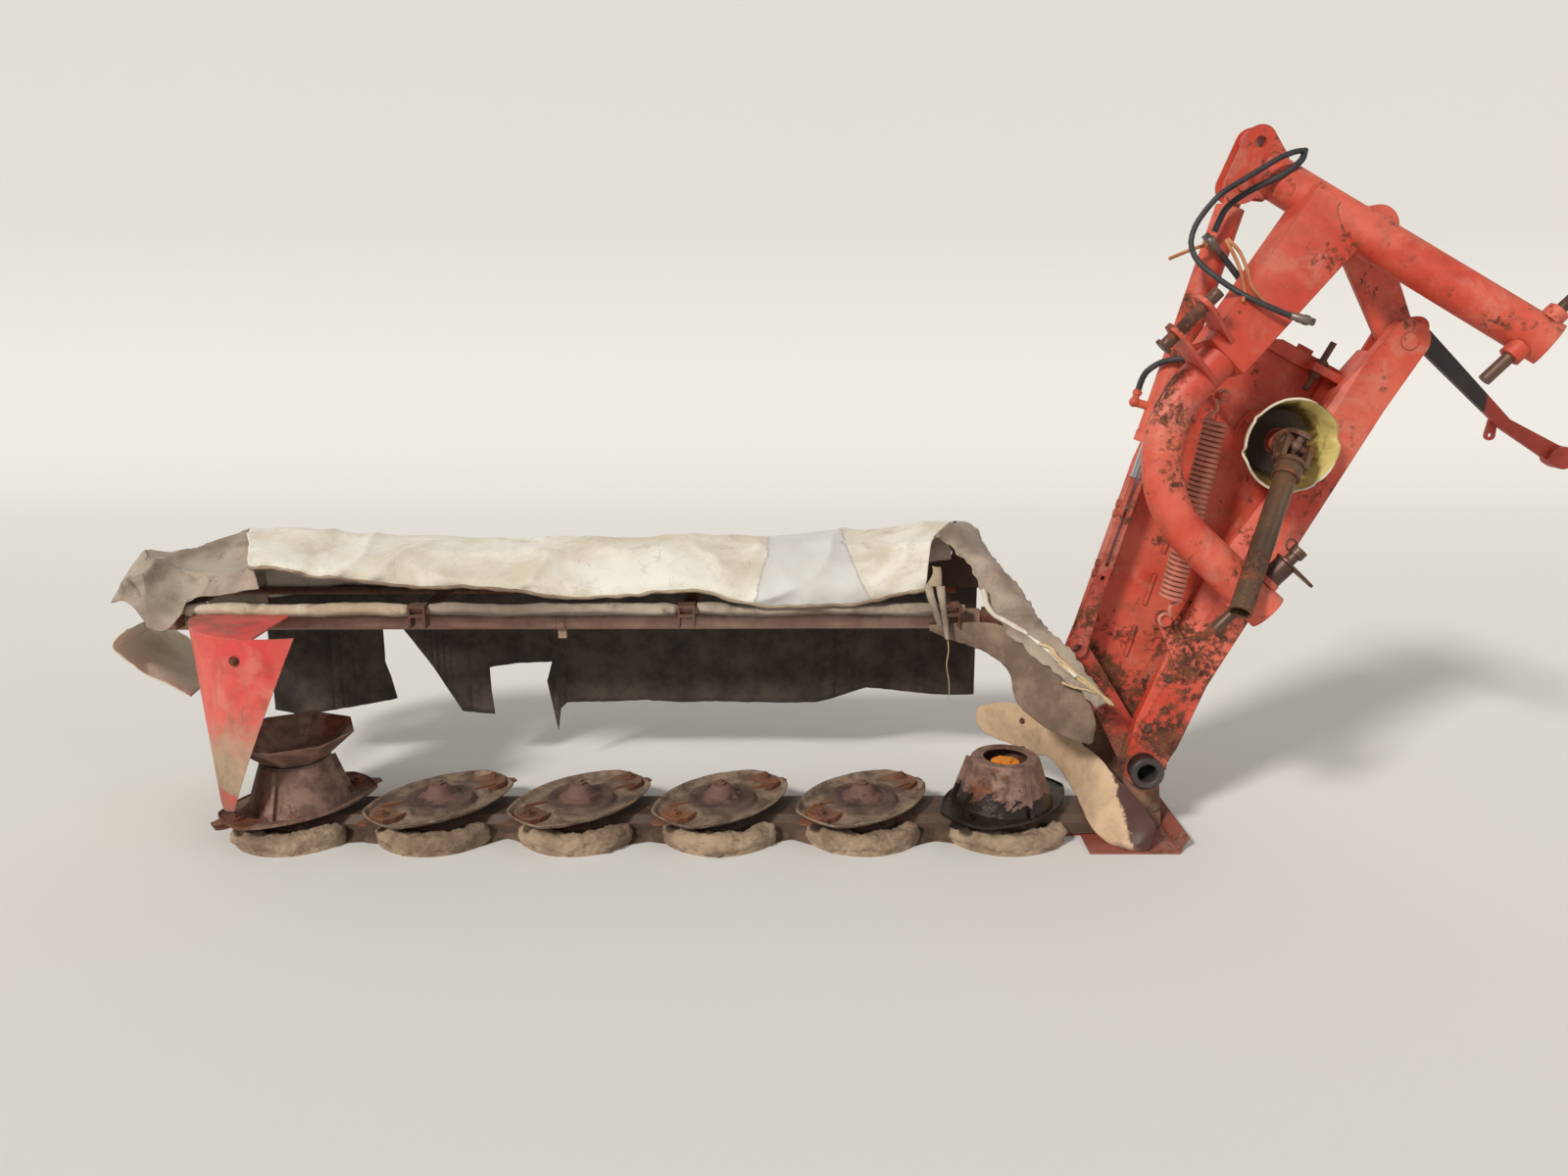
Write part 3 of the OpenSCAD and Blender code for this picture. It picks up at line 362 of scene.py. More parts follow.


# Cloth with a fine weave, blots and crack-line stains, and painted shade that darkens faces pointing down
def canvasCloth(name, pale, dull, stain, dirt=0.45, patch=None, shadeUnder=0.6):
    material, shader, place = startMaterial(name)
    cloud = speckle(place, 4.5, 8.0, 0.62, 0.5)
    blot = speckle(shift(place, (4.0, 1.0, 2.0)), 11.0, 8.0, 0.68, 0.8)
    colour = blend(step(cloud, 0.38, 0.66), pale, dull)
    colour = blend(times(step(blot, 0.54, 0.74), dirt), colour, stain)
    crack = newNode("ShaderNodeTexVoronoi", feature="DISTANCE_TO_EDGE")
    feed(place, crack.inputs["Vector"])
    crack.inputs["Scale"].default_value = 26.0
    lines = step(crack.outputs["Distance"], 0.03, 0.0)
    colour = blend(times(times(lines, step(blot, 0.45, 0.6)), 0.35), colour, stain)
    if patch:
        where = split(place)
        wobble = add(where["X"], swing(blot, 0.05))
        high = minus(where["Z"], patch["height"])
        leftWay = minus(wobble, add(times(high, patch["leftLean"]), patch["left"]))
        rightWay = minus(add(times(high, patch["rightLean"]), patch["right"]), wobble)
        inside = times(step(leftWay, 0.0, 0.005), step(rightWay, 0.0, 0.005))
        middlePart = times(step(leftWay, 0.003, 0.012), step(rightWay, 0.003, 0.012))
        rim = times(inside, minus(1.0, middlePart))
        colour = blend(times(inside, 0.72), colour, clothColours["patch"])
        colour = blend(times(rim, 0.5), colour, stain)
    coords = newNode("ShaderNodeTexCoord")
    facing = split(coords.outputs["Normal"])
    # Painted shade: faces that point down are darkened towards a dark brown, by the amount the caller gives
    paintedShadeBeneath = step(facing["Z"], 0.1, -0.5)
    colour = blend(times(paintedShadeBeneath, shadeUnder), colour, clothColours["paintedShadeBeneath"])
    feed(colour, shader["Base Color"])
    shader["Roughness"].default_value = 0.88
    shader["Sheen Weight"].default_value = 0.15
    threads = []
    weave = clothColours["weave"]
    for size in ((weave, 30.0, weave), (30.0, weave, 30.0)):
        wave = newNode("ShaderNodeTexWave", wave_type="BANDS")
        feed(shift(place, (0, 0, 0), size), wave.inputs["Vector"])
        wave.inputs["Scale"].default_value = 0.35
        threads.append(wave.outputs["Fac"])
    crumple = speckle(place, 30.0, 6.0, 0.6)
    raised = add(times(add(threads[0], threads[1]), 0.06), crumple)
    bump(shader, raised, 0.5, 0.003)
    return material


# Mud: lumpy, with straw-coloured grit
def mudMaterial(name, light, dark):
    material, shader, place = startMaterial(name)
    cloud = speckle(place, 9.0, 8.0, 0.65)
    grit = speckle(place, 90.0, 6.0, 0.75)
    colour = blend(step(cloud, 0.35, 0.65), light, dark)
    colour = blend(times(step(grit, 0.6, 0.75), 0.5), colour, mudColours["straw"])
    colour = blend(times(step(grit, 0.42, 0.3), 0.6), colour, mudColours["wet"])
    feed(colour, shader["Base Color"])
    shader["Roughness"].default_value = 0.95
    cells = newNode("ShaderNodeTexVoronoi")
    feed(place, cells.inputs["Vector"])
    cells.inputs["Scale"].default_value = 55.0
    raised = add(times(grit, 0.7), times(cells.outputs["Distance"], 0.8))
    bump(shader, raised, 0.8, 0.007)
    return material


# A disc: dusty plate with rusty triangles towards its two knives
def discMaterial(name, centre, wet):
    material, shader, place = startMaterial(name)
    local = shift(place, (-centre.x, -centre.y, 0.0))
    spun = newNode("ShaderNodeVectorRotate", rotation_type="Z_AXIS")
    feed(local, spun.inputs["Vector"])
    spun.inputs["Angle"].default_value = -discLook["turn"]
    parts = split(spun.outputs[0])
    along = maths("ABSOLUTE", parts["X"])
    across = maths("ABSOLUTE", parts["Y"])
    wobble = speckle(place, 22.0, 6.0, 0.6)
    edge = add(times(along, 0.42), swing(wobble, 0.09))
    blade = step(minus(edge, across), -0.012, 0.014)
    blade = times(blade, step(along, 0.085, 0.14))
    plate = blend(step(wobble, 0.4, 0.6), discColours["plate"], discColours["plateDark"])
    rusty = useGroup(rustGroup, Amount=discLook["rust"], Scale=9.0, Extra=times(blade, 0.3))
    red = blend(step(wobble, 0.4, 0.62), discColours["red"], discColours["redDark"])
    colour = blend(times(blade, 0.85), plate, red)
    colour = blend(times(rusty["Mask"], 0.7), colour, rusty["Color"])
    edges = useGroup(edgeWear, Radius=0.003, Amount=0.55, Scale=60.0)
    colour = blend(times(edges["Mask"], 0.5), colour, discColours["bare"])
    dirty = useGroup(dirtGroup, Amount=discLook["dirt"], Splash_Height=0.12, Streaks=0.2)
    spare = minus(0.5, times(blade, 0.4))
    colour = blend(times(dirty["Mask"], spare), colour, dirty["Color"])
    rough = add(0.62, times(dirty["Mask"], 0.3))
    if wet:
        blob = speckle(shift(place, (7.0, 3.0, 1.0)), 14.0, 5.0, 0.6, 0.8)
        foot = minus(0.135, swing(blob, 0.16))
        damp = times(step(split(place)["Z"], foot, minus(foot, 0.006)), wet)
        colour = blend(damp, colour, discColours["damp"])
        rough = minus(rough, times(damp, 0.4))
    feed(colour, shader["Base Color"])
    feed(rough, shader["Roughness"])
    feed(times(minus(1.0, dirty["Mask"]), 0.35), shader["Metallic"])
    raised = add(rusty["Height"], add(dirty["Height"], wobble))
    bump(shader, raised, 0.55, 0.004)
    return material


def rubberMaterial(name, base, worn, dust=0.4, rough=0.7):
    material, shader, place = startMaterial(name)
    cloud = speckle(place, 12.0, 7.0, 0.65)
    fine = speckle(place, 160.0, 4.0, 0.6)
    colour = blend(step(cloud, 0.35, 0.7), base, worn)
    dirty = useGroup(dirtGroup, Amount=dust, Splash_Height=0.05, Streaks=0.5)
    colour = blend(times(dirty["Mask"], dust), colour, dirty["Color"])
    feed(colour, shader["Base Color"])
    feed(add(rough, times(cloud, 0.2)), shader["Roughness"])
    bump(shader, add(fine, cloud), 0.35, 0.002)
    return material


print("stage: materials")
red = weathered("redPaint", (200, 66, 44), (218, 104, 80), rust=0.45, dirt=0.24, wear=0.7, splash=0.34,
                bare=(204, 144, 124), low=0.15, scuff=0.38)
redWorn = weathered("redWorn", (176, 60, 44), (200, 104, 84), rust=0.5, dirt=0.3, wear=0.8, splash=0.42,
                    bare=(190, 140, 120), low=0.06, scuff=0.4)
redSpring = weathered("redSpring", (206, 122, 100), (200, 140, 120), rust=0.3, dirt=0.4, wear=0.8, splash=0.1,
                      bare=(196, 150, 130))
redSheet = weathered("redSheet", (212, 54, 54), (216, 96, 84), rust=0.14, dirt=0.4, wear=0.6, splash=0.3, streaks=0.8,
                     gloss=0.5, scuff=0.3, bare=(206, 150, 130),
                     zone={"axis": "Z", "ragged": 0.62, "start": 0.46, "end": 0.27, "colour": (170, 144, 116),
                           "tip": 0.185})
redShoe = weathered("redShoe", (178, 62, 52), (150, 84, 70), rust=0.5, dirt=0.08, wear=0.9, splash=0.004, scuff=0.5)
dustySheet = weathered("dustySheet", (224, 192, 156), (204, 172, 138), rust=0.12, dirt=0.12, wear=0.5, splash=0.03,
                       bare=(130, 96, 78), zone={"axis": "X", "ragged": 0.16, "start": 0.872, "end": 0.884,
                                                 "lean": 0.32, "colour": (74, 42, 36)})
guardPaint = weathered("guardPaint", (164, 122, 108), (182, 152, 132), rust=0.3, dirt=0.75, wear=0.5, splash=0.3)
rustySteel = weathered("rustySteel", (88, 62, 50), (112, 84, 68), rust=0.6, dirt=0.4, wear=0.3, splash=0.2)
rustyShaft = weathered("rustyShaft", (66, 52, 40), (104, 78, 54), rust=0.55, dirt=0.06, wear=0.5, splash=0.1,
                       gloss=0.36, metal=0.3)
# The gear bar and its bolts: mud-brown with rust, darkened further as painted shade between the discs
barMudAndShade = weathered("barMudAndShade", (76, 58, 46), (96, 74, 60), rust=0.42, dirt=0.14, wear=0.3, splash=0.02)
darkPaint = weathered("darkPaint", (40, 38, 38), (66, 58, 54), rust=0.24, dirt=0.12, wear=0.6, splash=0.05)
standPaint = weathered("standPaint", (46, 42, 42), (70, 62, 60), rust=0.34, dirt=0.1, wear=0.7, splash=0.1,
                       zone={"axis": "X", "ragged": 0.02, "start": 1.775, "end": 1.785, "colour": (182, 66, 48)})
pinSteel = weathered("pinSteel", (112, 88, 74), (84, 60, 50), rust=0.55, dirt=0.15, wear=0.6, splash=0.1, metal=0.5,
                     gloss=0.4)
canvas = canvasCloth("canvas", (232, 227, 214), (208, 196, 174), (142, 120, 94), dirt=0.34,
                     patch={"left": -0.134, "right": 0.088, "leftLean": 0.275, "rightLean": -0.51, "height": 0.79})
# A darker copy of the canvas: dirt, and painted shade where the cloth hangs in shadow
canvasDirtAndShade = canvasCloth("canvasDirtAndShade", (176, 160, 142), (132, 114, 98), (88, 70, 58), dirt=0.75)
# Cloth for the tail, brighter than the canvas as painted light because the tail hangs in shade, and with no painted
# underside shade
canvasPaintedLight = canvasCloth("canvasPaintedLight", (240, 228, 204), (222, 204, 176), (150, 126, 100), dirt=0.2, shadeUnder=0.0)
# Dark cloth for the back of the guard's open inner end: its darkness is painted shade
canvasPaintedShade = canvasCloth("canvasPaintedShade", (84, 70, 58), (66, 54, 44), (44, 34, 28), dirt=0.5, shadeUnder=0.2)
rollCloth = canvasCloth("rollCloth", (214, 200, 176), (180, 156, 128), (128, 96, 72), dirt=0.7, shadeUnder=0.3)
hemCloth = canvasCloth("hemCloth", (170, 150, 126), (126, 104, 84), (84, 64, 50), dirt=0.7, shadeUnder=0.4)
apron = rubberMaterial("apron", (58, 50, 46), (92, 80, 70), dust=0.45, rough=0.75)
leathery = rubberMaterial("leathery", (104, 84, 70), (142, 120, 100), dust=0.5, rough=0.75)
hoseRubber = rubberMaterial("hoseRubber", (34, 34, 36), (66, 64, 66), dust=0.25, rough=0.45)
twineMaterial = rubberMaterial("twine", (172, 104, 66), (196, 138, 98), dust=0.2, rough=0.8)
strawMaterial = rubberMaterial("straw", (190, 164, 122), (214, 192, 152), dust=0.1, rough=0.85)
orangeCap = rubberMaterial("orangeCap", (214, 124, 28), (236, 162, 62), dust=0.2, rough=0.5)
# Mud between the discs, darker than the rings' mud as painted shade
mudBankShade = mudMaterial("mudBankShade", (112, 90, 72), (72, 54, 42))
mud = mudMaterial("mud", (178, 154, 128), (128, 106, 86))
creamShield = rubberMaterial("creamShield", (224, 214, 190), (192, 176, 146), dust=0.2, rough=0.55)
steelFitting = weathered("steelFitting", (128, 118, 110), (150, 140, 130), rust=0.3, dirt=0.2, wear=0.6, splash=0.1,
                         metal=0.6, gloss=0.35)
knifeRust = weathered("knifeRust", (138, 86, 60), (104, 66, 48), rust=0.5, dirt=0.4, wear=0.7, splash=0.05, scale=14.0,
                      bare=(180, 146, 118))


# Pan of a flat disc: pale dust round a brown island and hub
def panMaterial(name, centre, number):
    material, shader, place = startMaterial(name)
    local = shift(place, (-centre.x, -centre.y, 0.0), (1.0, 1.0, 0.0))
    span = newNode("ShaderNodeVectorMath", operation="LENGTH")
    feed(local, span.inputs[0])
    cloud = speckle(shift(place, (number * 3.0, 1.0, 2.0)), 13.0, 8.0, 0.68, 0.5)
    grit = speckle(place, 110.0, 6.0, 0.7)
    ragged = add(span.outputs["Value"], swing(cloud, 0.12))
    dust = blend(step(cloud, 0.36, 0.64), panColours["dust"], panColours["dustDark"])
    brown = blend(step(cloud, 0.4, 0.62), panColours["brown"], panColours["brownDark"])
    colour = blend(step(ragged, 0.115, 0.085), dust, brown)
    colour = blend(step(ragged, 0.058, 0.048), colour, panColours["hub"])
    spots = speckle(shift(place, (8.0, number, 5.0)), 34.0, 7.0, 0.7)
    colour = blend(times(step(spots, 0.6, 0.68), 0.75), colour, panColours["spots"])
    rusty = useGroup(rustGroup, Amount=0.42, Scale=12.0, Extra=0.0)
    colour = blend(times(rusty["Mask"], 0.6), colour, rusty["Color"])
    edges = useGroup(edgeWear, Radius=0.004, Amount=0.5, Scale=50.0)
    colour = blend(times(edges["Mask"], 0.5), colour, panColours["edge"])
    feed(colour, shader["Base Color"])
    shader["Roughness"].default_value = 0.8
    raised = add(times(grit, 0.5), add(cloud, rusty["Height"]))
    bump(shader, raised, 0.6, 0.004)
    return material


# Inside of the drive guard: yellow at the mouth with grease stains, and painted shade darkening it further in and
# towards one side
def guardInside(name, centre, mouth, reach):
    material, shader, place = startMaterial(name)
    local = split(shift(place, (-centre.x, -centre.y, -centre.z)))
    grime = speckle(place, 22.0, 7.0, 0.65, 0.6)
    # Painted shade: darker with depth into the bowl and towards one side, broken up by the stain noise
    shadeDepth = maths("DIVIDE", minus(local["Y"], mouth), reach)
    shadeDepth = add(shadeDepth, swing(grime, 1.3))
    shadeDepth = minus(shadeDepth, times(local["X"], 4.2))
    colour = blend(step(grime, 0.4, 0.66), guardColours["yellow"], guardColours["stained"])
    colour = blend(step(shadeDepth, 0.05, 0.55), colour, guardColours["greaseAndShade"])
    colour = blend(step(shadeDepth, 0.45, 1.0), colour, guardColours["deepShade"])
    feed(colour, shader["Base Color"])
    shader["Roughness"].default_value = 0.5
    bump(shader, grime, 0.3, 0.002)
    return material


def chromeMaterial():
    material, shader, place = startMaterial("chromeRod")
    fine = speckle(shift(place, (0, 0, 0), (300.0, 300.0, 8.0)), 1.0, 4.0, 0.6)
    colour = blend(step(fine, 0.55, 0.8), chromeColours["bright"], chromeColours["dull"])
    feed(colour, shader["Base Color"])
    shader["Metallic"].default_value = 1.0
    feed(add(0.12, times(fine, 0.2)), shader["Roughness"])
    return material


chrome = chromeMaterial()


def dress(material, *names):
    for name in names:
        piece = nodes[name]
        if not piece.material_slots:
            piece.data.materials.append(material)
        for slot in piece.material_slots:
            slot.material = material


dress(red, "main_beam", "belt_cover", "input_housing", "mast_tube", "apex_bracket", "cross_box", "curved_leg",
      "pivot_bracket", "cylinder_barrel")
dress(redWorn, "hinge_bracket", "lift_lever", "strap_link", "balance_spring")
dress(redSheet, "outer_cone")
dress(redShoe, "inner_shoe")
dress(dustySheet, "inner_deflector")
dress(guardPaint, "guard_tube", "front_rail")
dress(rustySteel, "guard_post", "cross_bars", "rear_rail", "belt_tensioner", "drive_joint")
dress(rustyShaft, "half_shaft")
dress(barMudAndShade, "gear_bar")
dress(mud, "skid_shoes")
dress(darkPaint, "hinge_tube")
dress(standPaint, "stand_leg")
dress(pinSteel, "top_link_pin", "lower_pin_left", "lower_pin_right")
dress(chrome, "cylinder_rod")
dress(orangeCap, "drum_cap")
for number, x in enumerate(stations):
    wet = discLook["wetDrum"] if x == stations[-1] else 0.0
    dress(discMaterial("disc%d" % (number + 1), at(x * 1000, 0, 0), wet), "rotor_%d" % (number + 1))


# Mesh helpers

def turnOutward(mesh, merge=0.0):
    work = bmesh.new()
    work.from_mesh(mesh)
    if merge:
        bmesh.ops.remove_doubles(work, verts=work.verts, dist=merge)
    bmesh.ops.recalc_face_normals(work, faces=work.faces)
    work.to_mesh(mesh)
    work.free()


def makePiece(name, verts, faces, material, smooth=True, merge=0.0):
    mesh = bpy.data.meshes.new(name)
    mesh.from_pydata([tuple(v) for v in verts], [], faces)
    mesh.validate()
    turnOutward(mesh)
    if merge:
        turnOutward(mesh, merge)
    if smooth:
        mesh.shade_smooth()
    mesh.materials.append(material)
    return newObject(name, mesh)


# Replace a piece's mesh with what its modifiers make of it
def settle(piece):
    bpy.context.view_layer.update()
    graph = bpy.context.evaluated_depsgraph_get()
    mesh = bpy.data.meshes.new_from_object(piece.evaluated_get(graph))
    piece.modifiers.clear()
    piece.data = mesh
    return piece


def thicken(piece, thickness, offset=0.0):
    solid = piece.modifiers.new("thickness", "SOLIDIFY")
    solid.thickness = thickness
    solid.offset = offset
    return settle(piece)


def between(a, b, c, d, t):
    return 0.5 * (2 * b + (c - a) * t + (2 * a - 5 * b + 4 * c - d) * t * t + (3 * b - a - 3 * c + d) * t ** 3)


# Even steps along a smooth curve through the points, and the curve's length
def smoothPath(points, count):
    points = [Vector(p) for p in points]
    ends = [points[0] * 2 - points[1]] + points + [points[-1] * 2 - points[-2]]
    fine = [between(*ends[i:i + 4], k / 12.0) for i in range(len(points) - 1) for k in range(12)] + [points[-1]]
    lengths = [0.0]
    for a, b in zip(fine, fine[1:]):
        lengths.append(lengths[-1] + (b - a).length)
    out = []
    j = 0
    for k in range(count):
        goal = lengths[-1] * k / (count - 1)
        while j < len(lengths) - 2 and lengths[j + 1] < goal:
            j += 1
        span = lengths[j + 1] - lengths[j]
        f = (goal - lengths[j]) / span if span else 0.0
        out.append(fine[j].lerp(fine[j + 1], min(max(f, 0.0), 1.0)))
    return out, lengths[-1]


def pathAt(points, count):
    return smoothPath([at(*p) for p in points], count)[0]


def frames(path):
    out = []
    side = None
    for i, p in enumerate(path):
        way = (path[min(i + 1, len(path) - 1)] - path[max(i - 1, 0)]).normalized()
        if side is None:
            side = way.orthogonal().normalized()
        side = (side - way * side.dot(way)).normalized()
        out.append((p, side, way.cross(side).normalized()))
    return out


def ringFaces(rings, sides, closed=False):
    faces = []
    for i in range(rings if closed else rings - 1):
        a, b = i * sides, (i + 1) % rings * sides
        for k in range(sides):
            m = (k + 1) % sides
            faces.append((a + k, a + m, b + m, b + k))
    return faces


# A tube whose section can change along its path
def tube(name, path, radius, material, sides=10, flat=1.0):
    verts = []
    for i, (p, side, up) in enumerate(frames(path)):
        for k in range(sides):
            angle = 2 * math.pi * k / sides
            r = radius(i / (len(path) - 1), angle) if callable(radius) else radius
            verts.append(p + side * (math.cos(angle) * r) + up * (math.sin(angle) * r * flat))
    faces = ringFaces(len(path), sides)
    faces.append(tuple(range(sides - 1, -1, -1)))
    faces.append(tuple(len(verts) - sides + k for k in range(sides)))
    return makePiece(name, verts, faces, material)


def lathe(name, profile, origin, axis, material, sides=40, closed=True):
    axis = axis.normalized()
    side = axis.orthogonal().normalized()
    up = axis.cross(side)
    verts = []
    for r, h in profile:
        for k in range(sides):
            angle = 2 * math.pi * k / sides
            verts.append(origin + axis * h + (side * math.cos(angle) + up * math.sin(angle)) * r)
    return makePiece(name, verts, ringFaces(len(profile), sides, closed), material)


def gridPiece(name, point, columns, rows, material):
    verts = [point(u / columns, v / rows) for u in range(columns + 1) for v in range(rows + 1)]
    faces = []
    for u in range(columns):
        for v in range(rows):
            a = u * (rows + 1) + v
            faces.append((a, a + 1, a + rows + 2, a + rows + 1))
    return makePiece(name, verts, faces, material)


# The value at t, from 0 to 1, on a smooth curve through the values
def through(values, t):
    t = min(max(t, 0.0), 1.0) * (len(values) - 1)
    i = min(int(t), len(values) - 2)
    around = [values[min(max(k, 0), len(values) - 1)] for k in range(i - 1, i + 3)]
    return between(*around, t - i)


def noisy(p, scale, seed=0.0):
    return noise.noise(Vector((p.x * scale + seed, p.y * scale - seed, p.z * scale + 2 * seed)))


def ridged(p, scale, seed=0.0, power=3.0):
    return (1.0 - abs(noisy(p, scale, seed))) ** power


def roundNoise(first, angle):
    return noise.noise(Vector((first, math.cos(angle), math.sin(angle))))


# A tube's radius with lumps on it
def lumpy(base, amount, rate):
    return lambda t, angle: base + amount * roundNoise(t * rate, angle)


# Cords: the first hose has the CAD's size and route

print("stage: cords")


def cordPiece(name, points, diameter, material, count):
    path, length = smoothPath([at(*p) for p in points], count)
    curve = bpy.data.curves.new(name, "CURVE")
    curve.dimensions = "3D"
    curve.bevel_depth = diameter / 2
    curve.bevel_resolution = 3
    curve.use_fill_caps = True
    spline = curve.splines.new("POLY")
    spline.points.add(len(path) - 1)
    for target, p in zip(spline.points, path):
        target.co = (p.x, p.y, p.z, 1.0)
    curve.materials.append(material)
    return newObject(name, curve), path, length


def fittingPiece(name, path, size):
    profile = [(0.0, -0.030), (0.0095, -0.030), (0.0095, -0.012), (0.012, -0.010), (0.012, 0.006), (0.0135, 0.008),
               (0.0135, 0.020), (0.010, 0.023), (0.010, 0.036), (0.0, 0.036)]
    profile = [(r * size, h * size) for r, h in profile]
    return lathe(name, profile, path[-1], path[-1] - path[-2], steelFitting, sides=12, closed=False)


hoseLook = {"thick": 0.016, "thin": 0.014, "twine": 0.009, "thinFitting": 0.9}
mainPoints = [(303.8, 0, 1236.2), (309.7, 0, 1257.4), (320, -5, 1281), (346, -23, 1304), (372, -45, 1313),
              (411, -62, 1317), (511, -85, 1313), (562, -85, 1352), (572, -85, 1412), (530, -76, 1490),
              (480, -64, 1556), (450, -56, 1592)]
mainHose, mainPath, mainLength = cordPiece("mainHose", mainPoints, hoseLook["thick"], hoseRubber, 40)
mainEnd = fittingPiece("mainCoupling", mainPath, 1.0)
carry(mainHose, "barrel", "hose")
carry(mainEnd, "barrel")
tuple(mainPath[0])

upPoints = [(448, -58, 1625), (456, -64, 1650), (470, -66, 1680), (506, -70, 1710), (554, -74, 1736), (604, -76, 1760),
            (640, -72, 1790), (652, -58, 1815)]
upHose, upPath, upLength = cordPiece("upperHose", upPoints, hoseLook["thick"], hoseRubber, 30)
carry(upHose, "headstock")
tuple(upPath[0])

loopPoints = [(640, -66, 1812), (612, -88, 1806), (576, -96, 1792), (533, -98, 1766), (489, -100, 1740),
              (444, -102, 1712), (410, -104, 1676), (383, -106, 1633), (376, -110, 1590), (392, -124, 1552),
              (420, -150, 1522), (448, -186, 1494), (482, -222, 1468), (528, -238, 1446), (572, -240, 1428),
              (606, -240, 1418)]
loopHose, loopPath, loopLength = cordPiece("loopHose", loopPoints, hoseLook["thin"], hoseRubber, 40)
loopEnd = fittingPiece("loopCoupling", loopPath, hoseLook["thinFitting"])
carry(loopHose, "headstock")
carry(loopEnd, "headstock")
tuple(loopPath[0])

twines = {
    "twineLeft": ("barrel", [(344, -48, 1561), (377, -50, 1575), (408, -52, 1587), (432, -66, 1594)]),
    "twineDown": ("headstock", [(474, -84, 1606), (492, -120, 1574), (496, -170, 1530), (494, -214, 1492),
                                (510, -228, 1468), (537, -230, 1440)]),
    "twineSide": ("headstock", [(470, -82, 1604), (482, -122, 1560), (484, -172, 1516), (478, -212, 1480),
                                (470, -226, 1456)]),
}
for name, (body, points) in twines.items():
    twine, path, length = cordPiece(name, points, hoseLook["twine"], twineMaterial, 20)
    carry(twine, body)
    tuple(path[0])


# Canvas guard

print("stage: canvas")
clothLook = {"thickness": 0.0028, "doubled": 0.003, "rubber": 0.004, "width": 0.6, "fold": 0.0135, "ripple": 0.004,
             "sag": 0.012}

ridgeRow = [(-2190, 812), (-2161, 812), (-1830, 782), (-1572, 780), (-1094, 772), (-775, 784), (-536, 797), (-298, 806),
            (-140, 822), (-80, 820)]
hemRow = [(-2190, 752), (-2077, 748), (-1886, 716), (-1682, 694), (-1430, 684), (-1200, 656), (-897, 680), (-703, 634),
          (-584, 628), (-408, 636), (-357, 654), (-231, 680), (-120, 700)]


def lookup(rows, x):
    if x <= rows[0][0]:
        return rows[0][1]
    for (x0, z0), (x1, z1) in zip(rows, rows[1:]):
        if x <= x1:
            f = (x - x0) / (x1 - x0)
            f = f * f * (3 - 2 * f)
            return z0 + (z1 - z0) * f
    return rows[-1][1]


def mainSection(x):
    hem, ridge = lookup(hemRow, x), lookup(ridgeRow, x)
    shares = ((96, 0), (104, 0.30), (150, 0.58), (215, 0.8), (295, 0.94))
    climb = [(y, hem + share * (ridge - hem)) for y, share in shares]
    fall = [(375, ridge), (432, ridge - 44), (462, ridge - 118), (472, 606 if x > -1900 else 596)]
    return [Vector((x, y, z)) for y, z in climb + fall]


def section(*points):
    points = [Vector(p) for p in points]
    return [through(points, k / 8.0) for k in range(9)]


outerEnd = section((-2117, 96, 750), (-2124, 108, 770), (-2150, 170, 790), (-2192, 270, 806), (-2238, 375, 818),
                   (-2242, 430, 778), (-2246, 466, 700), (-2248, 480, 566))
innerEnd = section((-222, 104, 680), (-218, 112, 722), (-208, 150, 780), (-196, 190, 802), (-152, 290, 816),
                   (-106, 375, 822), (-102, 432, 782), (-106, 462, 706), (-110, 472, 606))
sectionPlaces = (-2030, -1930, -1830, -1700, -1560, -1420, -1280, -1140, -1000, -860, -730, -610, -500, -400, -310)
topSections = [outerEnd] + [mainSection(x) for x in sectionPlaces] + [innerEnd]
fallSections = [
    section((-2094, 92, 690), (-2112, 108, 750), (-2150, 200, 792), (-2236, 375, 812), (-2242, 446, 752),
            (-2244, 482, 556)),
    section((-2200, 88, 676), (-2216, 120, 736), (-2245, 220, 778), (-2300, 375, 786), (-2302, 452, 722),
            (-2300, 483, 552)),
    section((-2290, 82, 664), (-2306, 112, 726), (-2332, 210, 762), (-2378, 370, 756), (-2378, 448, 696),
            (-2372, 483, 550)),
    section((-2312, 60, 612), (-2330, 90, 704), (-2370, 180, 756), (-2440, 350, 740), (-2440, 446, 676),
            (-2430, 480, 548)),
    section((-2352, 47, 578), (-2366, 66, 700), (-2404, 170, 758), (-2470, 326, 738), (-2476, 424, 664),
            (-2462, 454, 578)),
    section((-2394, 44, 588), (-2396, 60, 706), (-2434, 168, 766), (-2498, 310, 734), (-2505, 420, 650),
            (-2490, 450, 560)),
    section((-2404, 58, 596), (-2408, 74, 706), (-2446, 178, 764), (-2508, 316, 730), (-2514, 420, 644),
            (-2500, 450, 556)),
    section((-2470, 92, 648), (-2462, 120, 706), (-2496, 205, 724), (-2542, 310, 690), (-2546, 400, 620),
            (-2530, 440, 540)),
    section((-2545, 150, 628), (-2530, 172, 660), (-2545, 225, 668), (-2560, 310, 640), (-2560, 390, 580),
            (-2548, 430, 500)),
]


